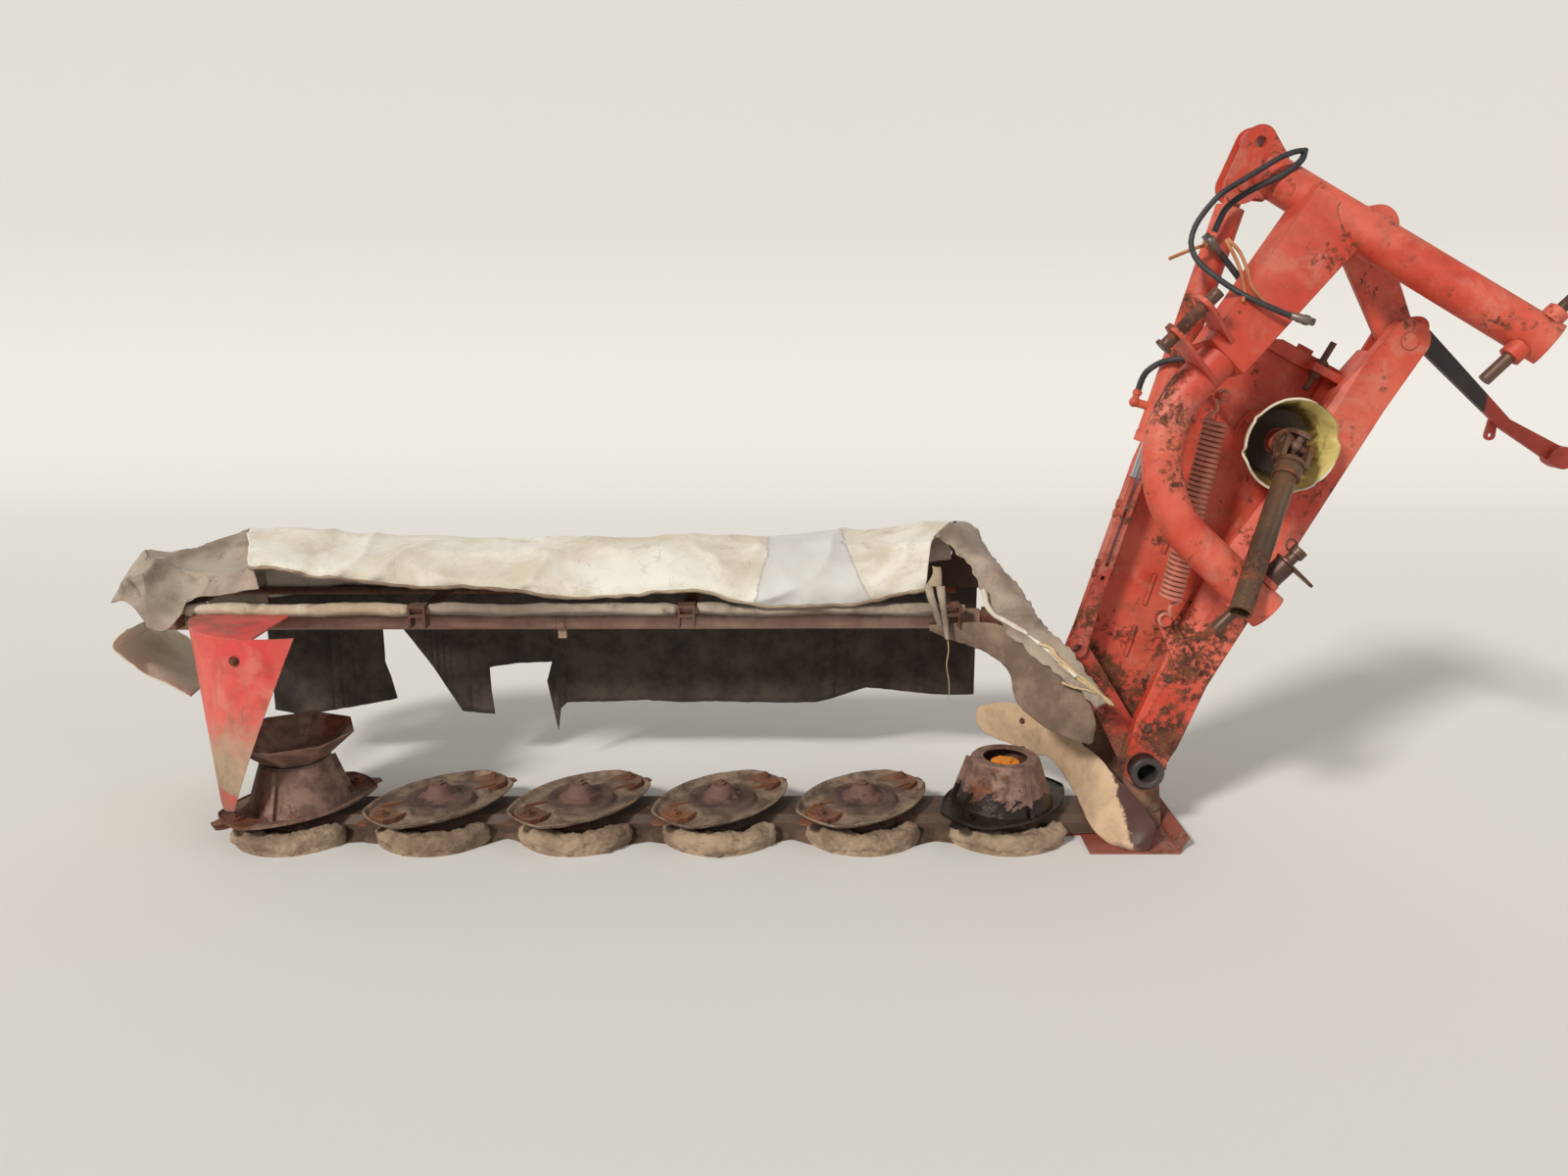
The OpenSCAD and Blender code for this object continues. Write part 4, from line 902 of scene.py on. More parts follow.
def clothPoint(rows, u, v, strength):
    p = through([through(s, v) for s in rows], u)
    way = Vector((0, -0.75, 0.66)) if v < 0.7 else Vector((0, 0.6, 0.8))
    q = p * 0.001
    free = math.sin(math.pi * min(v * 1.15, 1.0)) ** 0.5 if v < 0.87 else 0.4
    broad = noisy(Vector((q.x * 1.0, q.y * 0.8, q.z * 0.8)), 2.4, 6.0)
    long = ridged(Vector((q.x * 0.9 + q.z * 1.6, q.y * 2.2, 0)), 3.2, 3.0, 4.0) - 0.5
    diagonal = ridged(Vector((q.x * 1.7 - q.z * 2.4, q.y * 1.2, q.z)), 2.6, 8.0, 6.0) - 0.4
    small = noisy(q, 14.0, 1.0)
    bulge = clothLook["fold"] * 1000 * strength * (0.7 * long + 1.3 * diagonal + 1.2 * broad) * (0.4 + 0.8 * free)
    bulge += clothLook["ripple"] * 1000 * small
    hang = -clothLook["sag"] * 1000 * math.sin(math.pi * v) * max(0.0, math.sin(q.x * 8.1 + 1.0))
    p = p + way * bulge + Vector((0, 0, hang))
    if v < 0.12:
        p.z += 5.0 * noisy(q, 22.0, 5.0) * (1 - v / 0.12)
        p.y += 5.0 * noisy(q, 19.0, 9.0)
    p.z = min(p.z, 822.0)
    return at(p.x, p.y, p.z)


# Give a sheet its thickness, hang it on the cutterbar and hide the CAD node it stands for
def hangSheet(piece, node=None, thickness=clothLook["thickness"]):
    piece = thicken(piece, thickness)
    carry(piece, "cutterbar", node)


def guardCloth(name, rows, strength, columns, material, node):
    cloth = gridPiece(name, lambda u, v: clothPoint(rows, u, v, strength), columns, 60, material)
    hangSheet(cloth, node)


guardCloth("canvasTop", topSections, 1.0, 230, canvas, "canvas_top")
# A rolled hem along the canvas's front edge; its dark cloth is partly painted shade of the edge's underside
hemPath = [clothPoint(topSections, k / 239, 0.006, 1.0) + Vector((0, -0.001, -0.002)) for k in range(240)]
carry(tube("hemAndUnderShade", hemPath, lumpy(0.0052, 0.0034, 60), hemCloth, sides=8), "cutterbar")
guardCloth("canvasFall", fallSections, 2.2, 90, canvasDirtAndShade, "canvas_outer")


# A strip of cloth between two rows of edge points
def stripPiece(name, rows, columns, count, material, way, arch, rough, seed):
    left, right = [Vector(r[0]) for r in rows], [Vector(r[1]) for r in rows]
    way = Vector(way)

    def point(u, v):
        p = through(left, u).lerp(through(right, u), v)
        q = p * 0.001
        lumps = rough * noisy(q, 9.0, seed) + rough * (ridged(q, 6.0, seed + 2.0, 4.0) - 0.4)
        p = p + way * (arch * math.sin(math.pi * v) + lumps)
        if v < 0.08 or v > 0.92:
            p += Vector((rough * 0.4, 0, rough * 0.5)) * noisy(q, 50.0, seed)
        return at(p.x, p.y, p.z)

    return gridPiece(name, point, columns, count, material)


# The tail hangs in shade, so its cloth is painted lighter to make up for it
tailRows = [((-2466, 66, 576), (-2490, 430, 558)), ((-2514, 72, 520), (-2542, 430, 500)),
            ((-2436, 66, 450), (-2480, 430, 432)), ((-2306, 58, 376), (-2392, 430, 352))]
hangSheet(stripPiece("canvasTail", tailRows, 50, 40, canvasPaintedLight, (-0.5, 0, -0.8), 10.0, 7.0, 3.0))

foldRows = [((-196, 200, 806), (-100, 378, 814)), ((-152, 232, 776), (-58, 372, 802)),
            ((-108, 184, 746), (-22, 290, 744)), ((-78, 140, 706), (18, 196, 694)), ((-54, 102, 656), (48, 144, 664)),
            ((-32, 64, 610), (78, 90, 632)), ((0, 24, 568), (94, 16, 602)), ((30, 2, 546), (106, -40, 588)),
            ((58, -22, 522), (148, -52, 552)), ((122, -58, 478), (210, -74, 466)), ((222, -98, 396), (262, -102, 400))]
canvasFold = stripPiece("canvasFold", foldRows, 110, 30, canvasDirtAndShade, (0.3, -0.5, 0.8), 20.0, 15.0, 4.0)
hangSheet(canvasFold, "canvas_inner", thickness=clothLook["doubled"])
# Back of the open inner end, dark as painted shade of the guard's inside
backRows = [((-112, 428, 788), (-52, 436, 772)), ((-112, 452, 730), (-24, 450, 724)), ((-112, 462, 690), (4, 452, 682)),
            ((-232, 462, 650), (28, 454, 632)), ((-232, 462, 598), (44, 456, 592))]
hangSheet(stripPiece("canvasBack", backRows, 40, 24, canvasPaintedShade, (0, -0.9, 0.2), 6.0, 5.0, 9.0))

flapRows = [((-207, 150, 558), (-204, 150, 544)), ((-150, 120, 572), (-140, 124, 522)),
            ((-116, 100, 580), (-94, 96, 514)), ((-36, 50, 592), (-48, 58, 500)), ((24, 20, 572), (-2, 2, 470)),
            ((68, -10, 540), (14, -38, 400)), ((138, -52, 474), (50, -60, 360)), ((196, -76, 418), (108, -73, 322)),
            ((224, -77, 350), (166, -76, 298)), ((222, -77, 292), (210, -76, 284))]
innerFlap = stripPiece("innerFlap", flapRows, 110, 30, leathery, (0.2, -1.0, 0.2), 6.0, 3.5, 7.0)
hangSheet(innerFlap, "inner_flap", clothLook["rubber"])

rollPath = pathAt([(-64, 98, 676), (-46, 60, 622), (14, 24, 590), (62, -16, 566), (104, -48, 532), (166, -82, 478)], 60)
tornRoll = tube("tornRoll", rollPath, lumpy(0.0075, 0.003, 14), canvas, sides=9)
stalks = [((96, -56, 545), (150, -72, 500), (206, -96, 456), (256, -112, 410), 0.0065),
          ((120, -66, 512), (176, -86, 470), (246, -110, 424), (262, -114, 408), 0.005),
          ((128, -78, 462), (158, -88, 452), (196, -98, 446), (214, -104, 440), 0.0036),
          ((70, -40, 560), (100, -60, 552), (116, -66, 530), (126, -70, 506), 0.0042)]
carry(tornRoll, "cutterbar")
for i, (*points, r) in enumerate(stalks):
    stalk = tube("stalk%d" % (i + 1), pathAt(points, 40),
                 lambda t, a: r * (1.0 - 0.45 * t + 0.3 * noise.noise(Vector((t * 9 + i, math.cos(a), i)))),
                 strawMaterial, sides=8)
    carry(stalk, "cutterbar")


curtainOutline = [(-2260, 652), (-2260, 190), (-2180, 176), (-2090, 190), (-1990, 206), (-1864, 228), (-1880, 300),
                  (-1895, 350), (-1893, 470), (-1833, 466), (-1740, 330), (-1653, 190), (-1550, 180), (-1556, 260),
                  (-1559, 335), (-1480, 346), (-1363, 348), (-1382, 283), (-1351, 120), (-1341, 190), (-1320, 214),
                  (-1180, 220), (-1059, 224), (-960, 214), (-810, 217), (-531, 216), (-480, 224), (-361, 262),
                  (-250, 250), (-129, 242), (-20, 240), (-20, 606), (-2030, 606), (-2040, 652)]


def spans(outline, x):
    cuts = []
    for (x0, z0), (x1, z1) in zip(outline, outline[1:] + outline[:1]):
        if (x0 <= x) != (x1 <= x):
            cuts.append(z0 + (z1 - z0) * (x - x0) / (x1 - x0))
    cuts.sort()
    return [(cuts[i], cuts[i + 1]) for i in range(0, len(cuts) - 1, 2)]


def sheetFromOutline(name, outline, place, grid, material):
    corners = [x for x, z in outline]
    xs = sorted(set(corners + list(range(int(min(corners)), int(max(corners)), grid))))
    xs = [x for i, x in enumerate(xs) if i == 0 or x - xs[i - 1] > 0.5]
    verts, faces = [], []
    for x0, x1 in zip(xs, xs[1:]):
        left, right = spans(outline, x0 + 0.01), spans(outline, x1 - 0.01)
        for (l0, l1), (r0, r1) in zip(left, right):
            rows = max(2, int(max(l1 - l0, r1 - r0) / grid))
            start = len(verts)
            for k in range(rows + 1):
                f = k / rows
                verts.append(place(x0, l0 + (l1 - l0) * f))
                verts.append(place(x1, r0 + (r1 - r0) * f))
            for k in range(rows):
                a = start + 2 * k
                faces.append((a, a + 1, a + 3, a + 2))
    return makePiece(name, verts, faces, material, merge=0.0008)


def curtainPlace(x, z):
    q = Vector((x, 0, z)) * 0.001
    low = max(0.0, (600.0 - z) / 420.0)
    y = 476 - 10 * low * low + 9.0 * low * math.sin(q.x * 13.0 + 2.0 * noisy(q, 2.0)) + 10.0 * low * noisy(q, 5.0, 3.0)
    return at(x, y, z + 2.5 * noisy(q, 40.0, 1.0))


rearCurtain = sheetFromOutline("rearCurtain", curtainOutline, curtainPlace, 20, apron)
hangSheet(rearCurtain, "rear_curtain", clothLook["rubber"])


# Rolled hem round the front rail, in the stretches between the brackets
def hemRadius(seed):
    def radius(t, angle):
        p = Vector((t * 7.0 + seed, math.cos(angle), math.sin(angle)))
        ends = min(1.0, 14 * t + 0.3, 14 * (1 - t) + 0.3)
        return (0.0185 + 0.003 * noise.noise(p * 1.3) + 0.002 * noise.noise(p * 4.0)) * (0.78 + 0.22 * ends)
    return radius


for number, (x0, x1) in enumerate(((-2318, -1684), (-1626, -924), (-866, -180))):
    path = pathAt([(x0 + (x1 - x0) * k / 8.0, 118 + 3 * math.sin(k * 2.1), 616.5 + 3.0 * math.sin(k * 1.3 + number))
                   for k in range(9)], 70)
    roll = tube("hemRoll%d" % (number + 1), path, hemRadius(number * 9.0), canvasDirtAndShade if number else rollCloth,
                sides=14, flat=0.9)
    carry(roll, "cutterbar")

# Torn strap that hangs from the guard's inner end, split in two legs
straps = {
    "strapTop": (hemCloth, [((-206, 108, 742), (-184, 104, 740)), ((-205, 103, 720), (-180, 101, 714)),
                            ((-224, 98, 686), (-180, 96, 688))]),
    "strapLeft": (canvasDirtAndShade, [((-228, 97, 688), (-206, 97, 690)), ((-218, 92, 650), (-198, 92, 652)),
                               ((-202, 88, 610), (-186, 88, 612)), ((-188, 86, 574), (-176, 86, 574))]),
    "strapRight": (canvasDirtAndShade, [((-196, 97, 690), (-172, 96, 688)), ((-186, 92, 640), (-168, 90, 638)),
                                ((-176, 86, 586), (-160, 85, 584)), ((-166, 84, 536), (-156, 84, 534))]),
}
for name, (shade, rows) in straps.items():
    hangSheet(stripPiece(name, rows, 26, 6, shade, (0, -1, 0), 5.0, 4.0, 2.0),
              thickness=clothLook["doubled"])
threadPath = pathAt([(-160, 84, 540), (-157, 84, 500), (-161, 84, 460), (-153, 84, 410), (-151, 84, 360)], 40)
carry(tube("thread", threadPath, lambda t, a: 0.0016 - 0.0006 * t, strawMaterial, sides=6), "cutterbar")


# Geometry node tools: a coil and a row of bolt heads

print("stage: geometry node tools")


def toolGroup(name, **inputs):
    return newGroup(name, "GeometryNodeTree", {"Geometry": None, **inputs, "Material": None}, ["Geometry"])


def chain(source, kind, label, **settings):
    node = newNode(kind, **settings)
    feed(source, node.inputs[label])
    return node


def paintAndClose(shape, inside, out):
    finish = chain(shape, "GeometryNodeSetMaterial", "Geometry")
    feed(inside["Material"], finish.inputs["Material"])
    feed(finish.outputs[0], out["Geometry"])


def makeCoil():
    group, inside, out = toolGroup("Coil", Turns=40.0, Radius=0.024, Length=0.5, Wire=0.006)
    spiral = newNode("GeometryNodeCurveSpiral")
    for source, label in (("Turns", "Rotations"), ("Radius", "Start Radius"), ("Radius", "End Radius"),
                          ("Length", "Height")):
        feed(inside[source], spiral.inputs[label])
    spiral.inputs["Resolution"].default_value = 24
    circle = chain(inside["Wire"], "GeometryNodeCurvePrimitiveCircle", "Radius")
    circle.inputs["Resolution"].default_value = 9
    sweep = chain(spiral.outputs[0], "GeometryNodeCurveToMesh", "Curve")
    sweep.inputs["Fill Caps"].default_value = True
    feed(circle.outputs[0], sweep.inputs["Profile Curve"])
    paintAndClose(sweep.outputs[0], inside, out)
    return group


def makeHeads():
    group, inside, out = toolGroup("Bolt heads", Width=0.012, Height=0.008)
    dots = chain(inside["Geometry"], "GeometryNodeMeshToPoints", "Mesh")
    facing = newNode("GeometryNodeInputNamedAttribute", data_type="FLOAT_VECTOR")
    facing.inputs["Name"].default_value = "facing"
    aim = chain(facing.outputs["Attribute"], "FunctionNodeAlignRotationToVector", "Vector", axis="Z")
    parts = newNode("GeometryNodeJoinGeometry")
    # Hexagon head, washer and the thread's end
    for corners, wide, tall, lift in ((6, 1.0, 1.0, 0.5), (20, 1.45, 0.22, 0.1), (14, 0.5, 1.5, 0.75)):
        head = newNode("GeometryNodeMeshCylinder")
        head.inputs["Vertices"].default_value = corners
        feed(times(inside["Width"], wide), head.inputs["Radius"])
        feed(times(inside["Height"], tall), head.inputs["Depth"])
        rise = chain(times(inside["Height"], lift), "ShaderNodeCombineXYZ", "Z")
        move = chain(head.outputs["Mesh"], "GeometryNodeTransform", "Geometry")
        feed(rise.outputs[0], move.inputs["Translation"])
        feed(move.outputs[0], parts.inputs[0])
    place = chain(dots.outputs[0], "GeometryNodeInstanceOnPoints", "Points")
    feed(parts.outputs[0], place.inputs["Instance"])
    feed(aim.outputs[0], place.inputs["Rotation"])
    real = chain(place.outputs[0], "GeometryNodeRealizeInstances", "Geometry")
    paintAndClose(real.outputs[0], inside, out)
    return group


coilTool = makeCoil()
headTool = makeHeads()


def applyTool(name, verts, group, values, facings=None):
    mesh = bpy.data.meshes.new(name)
    mesh.from_pydata([tuple(v) for v in verts], [], [])
    if facings:
        layer = mesh.attributes.new("facing", "FLOAT_VECTOR", "POINT")
        for item, way in zip(layer.data, facings):
            item.vector = way
    piece = newObject(name, mesh)
    modifier = piece.modifiers.new("tool", "NODES")
    modifier.node_group = group
    for item in group.interface.items_tree:
        if item.in_out == "INPUT" and item.name in values:
            modifier[item.identifier] = values[item.name]
    piece.update_tag()
    return settle(piece)


# Bolt heads at the places of a list, each with the way it faces
def boltRow(name, body, items, width, height, material=rustySteel):
    values = {"Width": width, "Height": height, "Material": material}
    carry(applyTool(name, [p for p, way in items], headTool, values, [way for p, way in items]), body)


print("stage: spring and bolts")
front = Vector((0, -1, 0))
springLook = {"turns": 36.0, "radius": 0.0262, "wire": 0.0056, "start": 0.056, "bothEnds": 0.118, "hook": 0.0145}
springLow, springHigh = armPoint(392, 178, -78), armPoint(960, 355, -78)
springWay = (springHigh - springLow).normalized()
coilLength = (springHigh - springLow).length - springLook["bothEnds"]
coilValues = {"Turns": springLook["turns"], "Radius": springLook["radius"], "Length": coilLength,
              "Wire": springLook["wire"], "Material": redSpring}
coil = applyTool("springCoil", [(0, 0, 0)], coilTool, coilValues)
coilTurn = springWay.to_track_quat("Z", "Y").to_matrix().to_4x4()
coil.data.transform(Matrix.Translation(springLow + springWay * springLook["start"]) @ coilTurn)
coil.data.shade_smooth()
hooks = []
for end, way in ((springLow, springWay), (springHigh, -springWay)):
    side = way.cross(front).normalized()
    points = [end + way * 0.062 + side * 0.0235, end + way * 0.050 + side * 0.02, end + way * 0.036 + side * 0.006]
    for k in range(13):
        angle = math.radians(-60 + 25 * k)
        bent = (way * math.cos(angle) - side * math.sin(angle)) * springLook["hook"]
        points.append(end + bent + front * (k * 0.0004))
    hooks.append(tube("springHook%d" % len(hooks), smoothPath(points, 44)[0], springLook["wire"], redSpring, sides=9))
for piece in [coil] + hooks:
    carry(piece, "arm", "balance_spring" if piece == coil else None)

up = Vector((0, 0, 1))
coverBolts = [(60, 178), (150, 284), (330, 322), (520, 358), (710, 392), (900, 412), (1060, 398), (1142, 300),
              (1160, 120), (1080, -8)]
boltRow("coverBolts", "arm", [(armPoint(a, c, 44.8), front) for a, c in coverBolts], 0.009, 0.006)
boltRow("beamBolts", "arm", [(armPoint(a, c, -50), front) for a, c in ((104, 44), (250, 70))], 0.009, 0.007)
barBolts = [(at(x, y, 608.3), up) for x in (-2356, -1655, -895, -150) for y in (150, 420)]
boltRow("barBolts", "cutterbar", barBolts, 0.011, 0.008)

# The cone's bolt sits where a line along Y meets the cone
coneBolt = {"x": -2070, "height": 0.5463, "aside": 0.016, "width": 0.0095}
aside = Vector((coneBolt["aside"], 0, 0))
start = at(coneBolt["x"], -600, 0) + aside
found, spot, way, face = nodes["outer_cone"].ray_cast(Vector((start.x, start.y, coneBolt["height"])), Vector((0, 1, 0)))
if found:
    way = way if way.y < 0 else -way
    boltRow("coneBolt", "cutterbar", [(spot - aside + way * 0.0005, way)], coneBolt["width"], 0.006)
hingeBolts = [(at(x, -6.2, z), front) for x, z in ((352, 40), (400, 40), (425, 70), (352, 90))]
boltRow("hingeBolts", "cutterbar", hingeBolts, 0.012, 0.009)
outward = Vector((-0.69, -0.724, 0))
sheetBolts = [(at(430 - 0.724 * s, -120 + 0.69 * s, z) + outward * 0.0042, outward)
              for s, z in ((60, 34), (110, 34), (470, 250))]
boltRow("deflectorBolts", "cutterbar", sheetBolts, 0.010, 0.007)
wellBolts = [(at(x * 1000 + 100 * math.cos(a), 100 * math.sin(a), 53), up)
             for x in stations for a in (math.radians(d) for d in (-150, -120, -60, -30, 60, 120))]
boltRow("wellBolts", "cutterbar", wellBolts, 0.008, 0.008, barMudAndShade)


# Drive guard: cream outside, yellow inside, with a chipped mouth

print("stage: drive guard")
shieldCentre = armPoint(929, 159, 0)
shieldLook = {
    "outer": [(0.034, 0.0485), (0.080, 0.0485), (0.086, 0.052), (0.094, 0.075), (0.102, 0.1), (0.110, 0.126),
              (0.1175, 0.146), (0.118, 0.150)],
    "inner": [(0.034, 0.0520), (0.078, 0.0520), (0.083, 0.056), (0.091, 0.077), (0.0985, 0.101), (0.1065, 0.127),
              (0.1145, 0.146), (0.1165, 0.1495)],
    "lip": 0.0034, "lipReach": 0.1165, "lipDepth": 0.1475, "chips": 0.05,
}


def chipAt(angle):
    n = noise.noise(Vector((math.cos(angle) * 3.1, math.sin(angle) * 3.1, 4.2)))
    return max(0.0, n - 0.12) * shieldLook["chips"]


def shieldSkin(name, rows, material):
    sides = 96
    verts = []
    for i, (radius, y) in enumerate(rows):
        for k in range(sides):
            angle = 2 * math.pi * k / sides
            chip = 0.0
            if i >= len(rows) - 2:
                chip = chipAt(angle) + 0.002 * noise.noise(Vector((math.cos(angle) * 14, math.sin(angle) * 14, 1)))
            r = radius + 0.003 * noise.noise(Vector((math.cos(angle), math.sin(angle), y * 9)))
            verts.append(shieldCentre + Vector((r * math.cos(angle), -(y - chip), r * math.sin(angle))))
    return makePiece(name, verts, ringFaces(len(rows), sides), material)


outside = shieldSkin("shieldOuter", shieldLook["outer"], creamShield)
inner = shieldSkin("shieldInner", shieldLook["inner"], guardInside("shieldInside", shieldCentre, -0.1495, 0.1))
lipPath = []
for k in range(97):
    angle = math.radians(62 + 2.9 * k)
    reach = shieldLook["lipReach"]
    lipPath.append(shieldCentre + Vector((reach * math.cos(angle), chipAt(angle) - shieldLook["lipDepth"],
                                          reach * math.sin(angle))))
lip = tube("shieldLip", lipPath, lambda t, a: shieldLook["lip"] * min(1.0, 12 * t + 0.3, 12 * (1 - t) + 0.3),
           creamShield, sides=8)
carry(outside, "arm", "drive_shield")
carry(inner, "arm")
carry(lip, "arm")


# Discs: dished plates with a raised island and hub, rusty knife seats and knives

print("stage: discs")


def discReach(angle):
    flank = 0.3
    off = flank - discLook["short"] / 2
    side = abs(math.sin(angle))
    return min(discLook["long"] / 2, -off * side + math.sqrt(off * off * side * side + flank * flank - off * off))


def ramp(value, low, high):
    t = min(max((value - low) / (high - low), 0.0), 1.0)
    return t * t * (3 - 2 * t)


def discHeight(x, y, reach, seed):
    r = math.hypot(x, y)
    z = discLook["floor"] + (discLook["rim"] - discLook["floor"]) * ramp(r, reach - 0.017, reach - 0.005)
    lobe = min(math.hypot(x - 0.112, y + 0.012), math.hypot(x + 0.112, y - 0.012)) - 0.046
    bite = 0.050 - min(math.hypot(x - 0.104, y - 0.084), math.hypot(x + 0.104, y + 0.084))
    inside = max(min(r - 0.098, lobe), bite)
    z += discLook["island"] * ramp(-inside, -0.003, 0.006)
    z += 0.006 * ramp(-r, -0.062, -0.048) + (discLook["hub"] - 0.006) * ramp(-r, -0.045, -0.021)
    return z + 0.0012 * noise.noise(Vector((x * 40, y * 40, seed)))


# A point of a disc's own coordinates in millimetres, turned to where the disc stands
def discPoint(x, px, py, z, turn):
    return at(x * 1000 + px * math.cos(turn) - py * math.sin(turn), px * math.sin(turn) + py * math.cos(turn), z)


def discSkin(number, x):
    rings, sides = 46, 112
    verts = []
    for i in range(rings + 1):
        for k in range(sides):
            angle = 2 * math.pi * k / sides
            reach = discReach(angle)
            r = 0.004 + (reach - 0.004) * i / rings
            px, py = r * math.cos(angle), r * math.sin(angle)
            z = discHeight(px, py, reach, number * 3.0)
            verts.append(discPoint(x, px * 1000, py * 1000, z * 1000, discLook["turn"]))
    faces = ringFaces(rings + 1, sides) + [tuple(range(sides))]
    material = panMaterial("discPan%d" % number, at(x * 1000, 0, 0), number)
    return thicken(makePiece("discSkin%d" % number, verts, faces, material), discLook["plate"], offset=-1.0)


# Flat plates with sloping edges, from outlines in a disc's own coordinates in millimetres
def discPlates(name, x, plates, material):
    verts, faces = [], []
    for extraTurn, outline, low, high, lift, inset in plates:
        turn = discLook["turn"] + math.radians(extraTurn)
        count = len(outline)
        start = len(verts)
        cx, cy = (sum(p[k] for p in outline) / count for k in (0, 1))
        for z, shrink in ((low, 0.0), (high - 1.5, 0.0), (high, inset)):
            for px, py in outline:
                h = z + lift * (px - 150) / 80.0
                verts.append(discPoint(x, px + (cx - px) * shrink, py + (cy - py) * shrink, h, turn))
        faces += [tuple(start + k for k in face) for face in ringFaces(3, count)]
        faces.append(tuple(start + count - 1 - k for k in range(count)))
        faces.append(tuple(start + 2 * count + k for k in range(count)))
    return makePiece(name, verts, faces, material, smooth=False)


seat = [(50, -12), (96, -42), (150, -57), (186, -50), (203, -24), (204, 10), (192, 32), (164, 40), (128, 32), (92, 18),
        (60, 10)]
knife = [(150, -19), (214, -22), (236, -12), (238, 8), (226, 18), (212, 20), (150, 17)]
ridge = [(92, -38), (150, -54), (153, -46), (96, -30)]
for i, x in enumerate(stations[:-1]):
    number = i + 1
    body = "disc_%d" % number
    plates = []
    for half in (0, 180):
        plates += [(half - 6, knife, 80.5, 84.5, 3.0, 0.03)]
        if i:
            plates += [(half, seat, 86, 101, 3.0, 0.05), (half, ridge, 99, 108, 3.0, 0.2)]
    carry(discPlates("discBlades%d" % number, x, plates, knifeRust), body)
    if i:
        carry(discSkin(number, x), body, "rotor_%d" % number)
        bolt = discLook["bolt"]
        spots = [(discPoint(x, reach, 0, 102.5, discLook["turn"]), up) for reach in (bolt, -bolt)]
        boltRow("discBolts%d" % number, body, spots, 0.0125, 0.010, material=knifeRust)
        boltRow("discHub%d" % number, body, [(at(x * 1000, 0, 131), up)], 0.0155, 0.012)


# Deflector: a dusty sheet bent round the end of the bar, scraped bare beside the hinge

print("stage: deflector")
deflectorLook = {"thickness": 0.0035, "arch": 9.0, "rough": 3.0}
deflectorRows = [((-34, 322, 208), (-27, 317, 252)), ((-11, 300, 179), (12, 279, 279)),
                 ((26, 266, 167), (57, 236, 294)), ((81, 213, 163), (92, 203, 292)), ((121, 175, 153), (132, 164, 284)),
                 ((150, 147, 160), (175, 123, 268)), ((174, 124, 143), (208, 92, 248)),
                 ((203, 100, 104), (240, 61, 222)), ((214, 45, 85), (264, 0, 214)), ((222, 5, 69), (280, -60, 198)),
                 ((222, -40, 61), (305, -106, 177)), ((226, -80, 50), (339, -122, 146)),
                 ((246, -105, 29), (368, -132, 107)), ((273, -121, 10), (388, -146, 77)),
                 ((314, -150, 9), (382, -152, 45)), ((357, -158, 9), (374, -158, 19))]
deflectorSkin = stripPiece("deflectorSkin", deflectorRows, 150, 40, dustySheet, (-0.3, -0.85, 0.3),
                           deflectorLook["arch"], deflectorLook["rough"], 11.0)
carry(thicken(deflectorSkin, deflectorLook["thickness"]), "cutterbar", "inner_deflector")

sleeveProfile = [(0.0265, 0.0), (0.043, 0.0), (0.043, 0.034), (0.046, 0.036), (0.046, 0.046), (0.040, 0.050),
                 (0.030, 0.050), (0.0265, 0.046)]
carry(lathe("hingeSleeve", sleeveProfile, at(369, -57, 208), front, darkPaint, sides=48), "cutterbar")


# Mud on the skid rings and between the discs; the mud between the discs is darkened as painted shade

print("stage: mud")
mudLook = {"ring": 0.030, "rough": 0.012, "reach": 155, "first": 203, "last": 338, "top": 0.060, "bankTop": 0.0735}


def mudRing(number, x):
    reach = mudLook["reach"]
    angles = [math.radians(a) for a in range(mudLook["first"], mudLook["last"], 3)]

    def radius(t, angle):
        p = Vector((x * 3 + t * 5.0, math.cos(angle), math.sin(angle)))
        taper = min(1.0, 9 * t + 0.55, 9 * (1 - t) + 0.55)
        lump = mudLook["rough"] * (noise.noise(p * 1.6) + 0.6 * noise.noise(p * 4.2) + 0.35 * noise.noise(p * 9.0))
        return (mudLook["ring"] + lump) * taper

    path = [at(x * 1000 + reach * math.cos(a), reach * math.sin(a), 27) for a in angles]
    piece = tube("mudRing%d" % number, path, radius, mud, sides=22)
    for v in piece.data.vertices:
        v.co.z = min(max(v.co.z, 0.0006), mudLook["top"])
    return piece


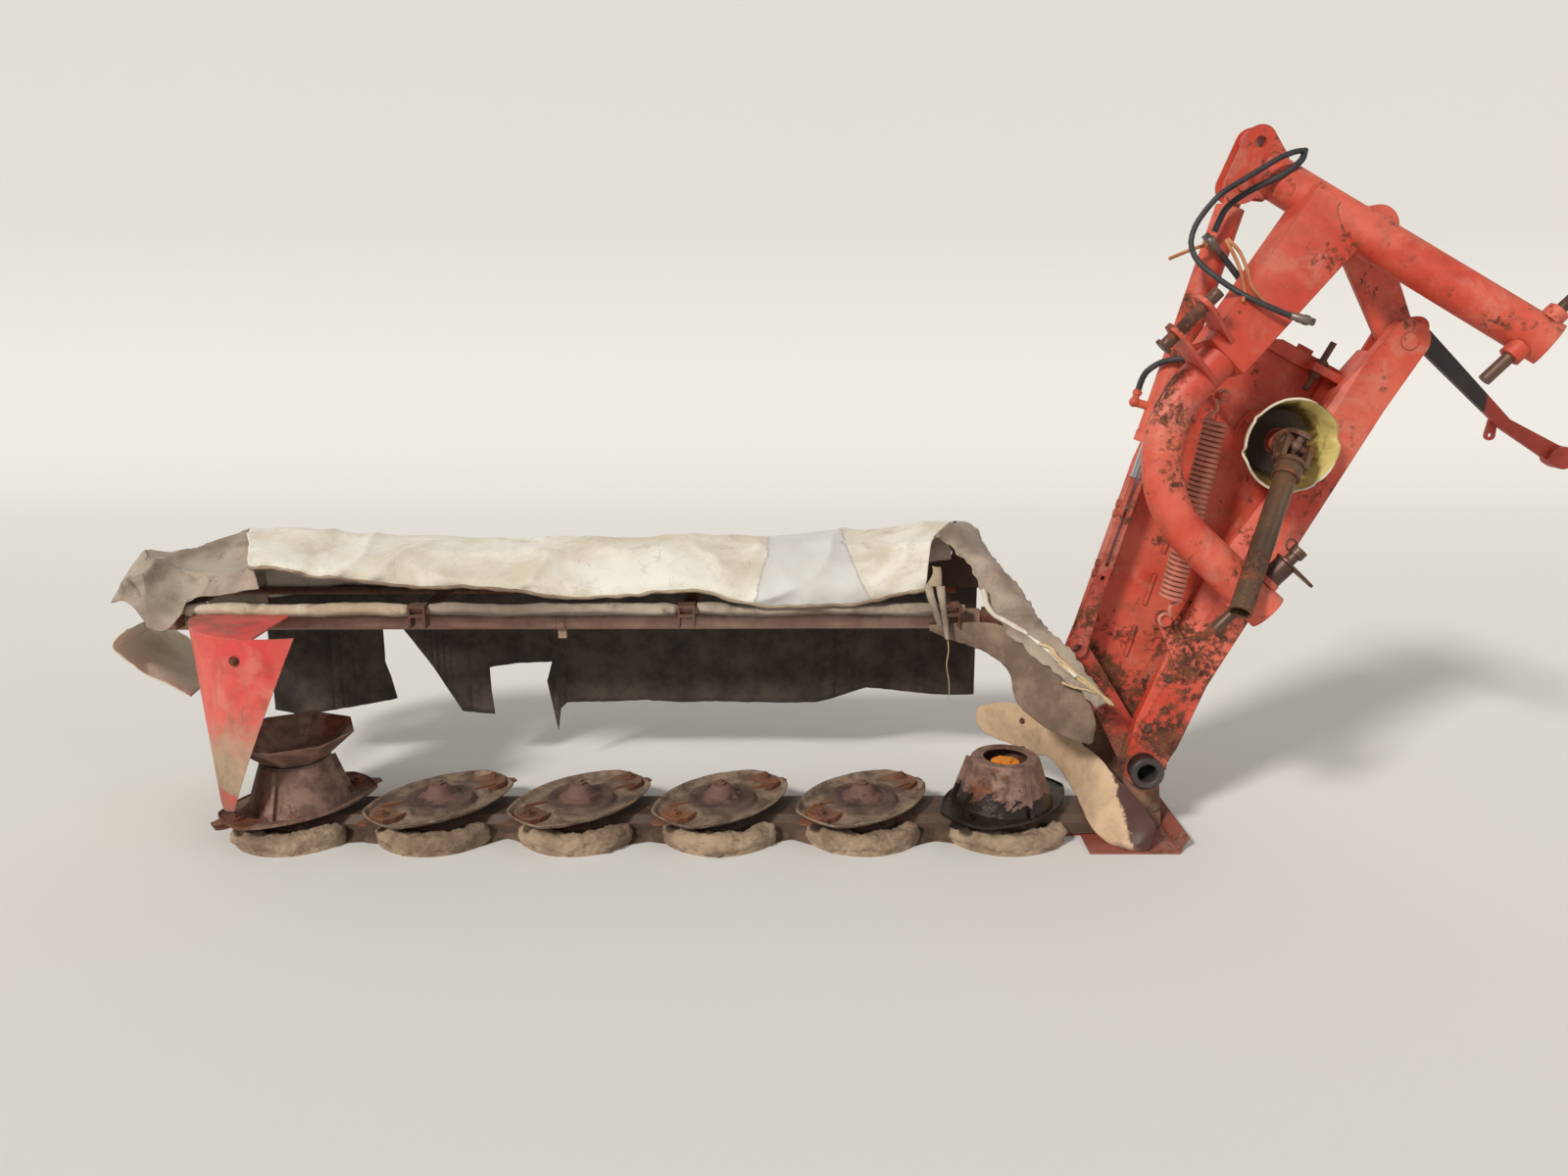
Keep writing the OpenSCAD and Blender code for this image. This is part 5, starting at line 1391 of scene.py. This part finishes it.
def mudBank(number, x):
    def point(u, v):
        px = x + 0.2 + (u - 0.5) * 0.19
        edgeY = -0.088 - 0.034 * noise.noise(Vector((px * 9, number * 2.0, 7.0))) - 0.03 * abs(2 * u - 1)
        py = edgeY + v * (0.095 - edgeY)
        edge = math.sin(math.pi * u) ** 0.45 * math.sin(math.pi * v) ** 0.35
        n = noise.noise(Vector((px * 16, py * 16, 2.0))) + 0.5 * noise.noise(Vector((px * 44, py * 44, 5.0)))
        slope = min(1.0, max(0.0, (py - edgeY - 0.02 * n) / 0.06))
        z = min((0.004 + edge * (0.056 + 0.018 * n)) * (0.12 + 0.88 * slope), mudLook["bankTop"])
        return at(px * 1000, py * 1000, max(z, 0.001) * 1000)

    return gridPiece("mudBank%d" % number, point, 26, 30, mudBankShade)


for i, x in enumerate(stations):
    carry(mudRing(i + 1, x), "cutterbar")
for i, x in enumerate(stations[:-1]):
    carry(mudBank(i + 1, x), "cutterbar")


# Floor, backdrop and light

print("stage: studio")
studio = {"floor": (222, 220, 216), "world": 0.40, "key": 2.35, "fill": 0.3, "half": 14.0, "front": -9.0, "back": 5.0,
          "bend": 2.0, "top": 9.0}
floorMaterial, floorShader = startMaterial("floorMaterial")[:2]
floorShader["Base Color"].default_value = tone(*studio["floor"])
floorShader["Roughness"].default_value = 0.9
bend = studio["bend"]
angles = [math.radians(d) for d in range(6, 91, 6)]
sweep = [(studio["front"], 0.0), (studio["back"], 0.0)]
sweep += [(studio["back"] + bend * math.sin(a), bend - bend * math.cos(a)) for a in angles]
sweep.append((studio["back"] + bend, studio["top"]))
floorVerts = [(x, y, z) for y, z in sweep for x in (-studio["half"], studio["half"])]
floorFaces = [(2 * i, 2 * i + 1, 2 * i + 3, 2 * i + 2) for i in range(len(sweep) - 1)]
makePiece("floor", floorVerts, floorFaces, floorMaterial)

world = bpy.data.worlds.new("studioWorld")
world.use_nodes = True
sky = world.node_tree.nodes["Background"].inputs
sky["Color"].default_value = (1.0, 0.99, 0.97, 1.0)
sky["Strength"].default_value = studio["world"]
bpy.context.scene.world = world


def sun(name, strength, angle, direction, colour):
    lamp = bpy.data.lights.new(name, "SUN")
    lamp.energy = strength
    lamp.angle = math.radians(angle)
    lamp.color = colour
    newObject(name, lamp).rotation_euler = Vector(direction).to_track_quat("-Z", "Y").to_euler()


sun("key", studio["key"], 9.0, (0.62, 0.75, -0.72), (1.0, 0.97, 0.92))
sun("fill", studio["fill"], 30.0, (-0.8, 0.5, -0.5), (0.94, 0.97, 1.0))
bpy.context.scene.view_settings.view_transform = "Standard"
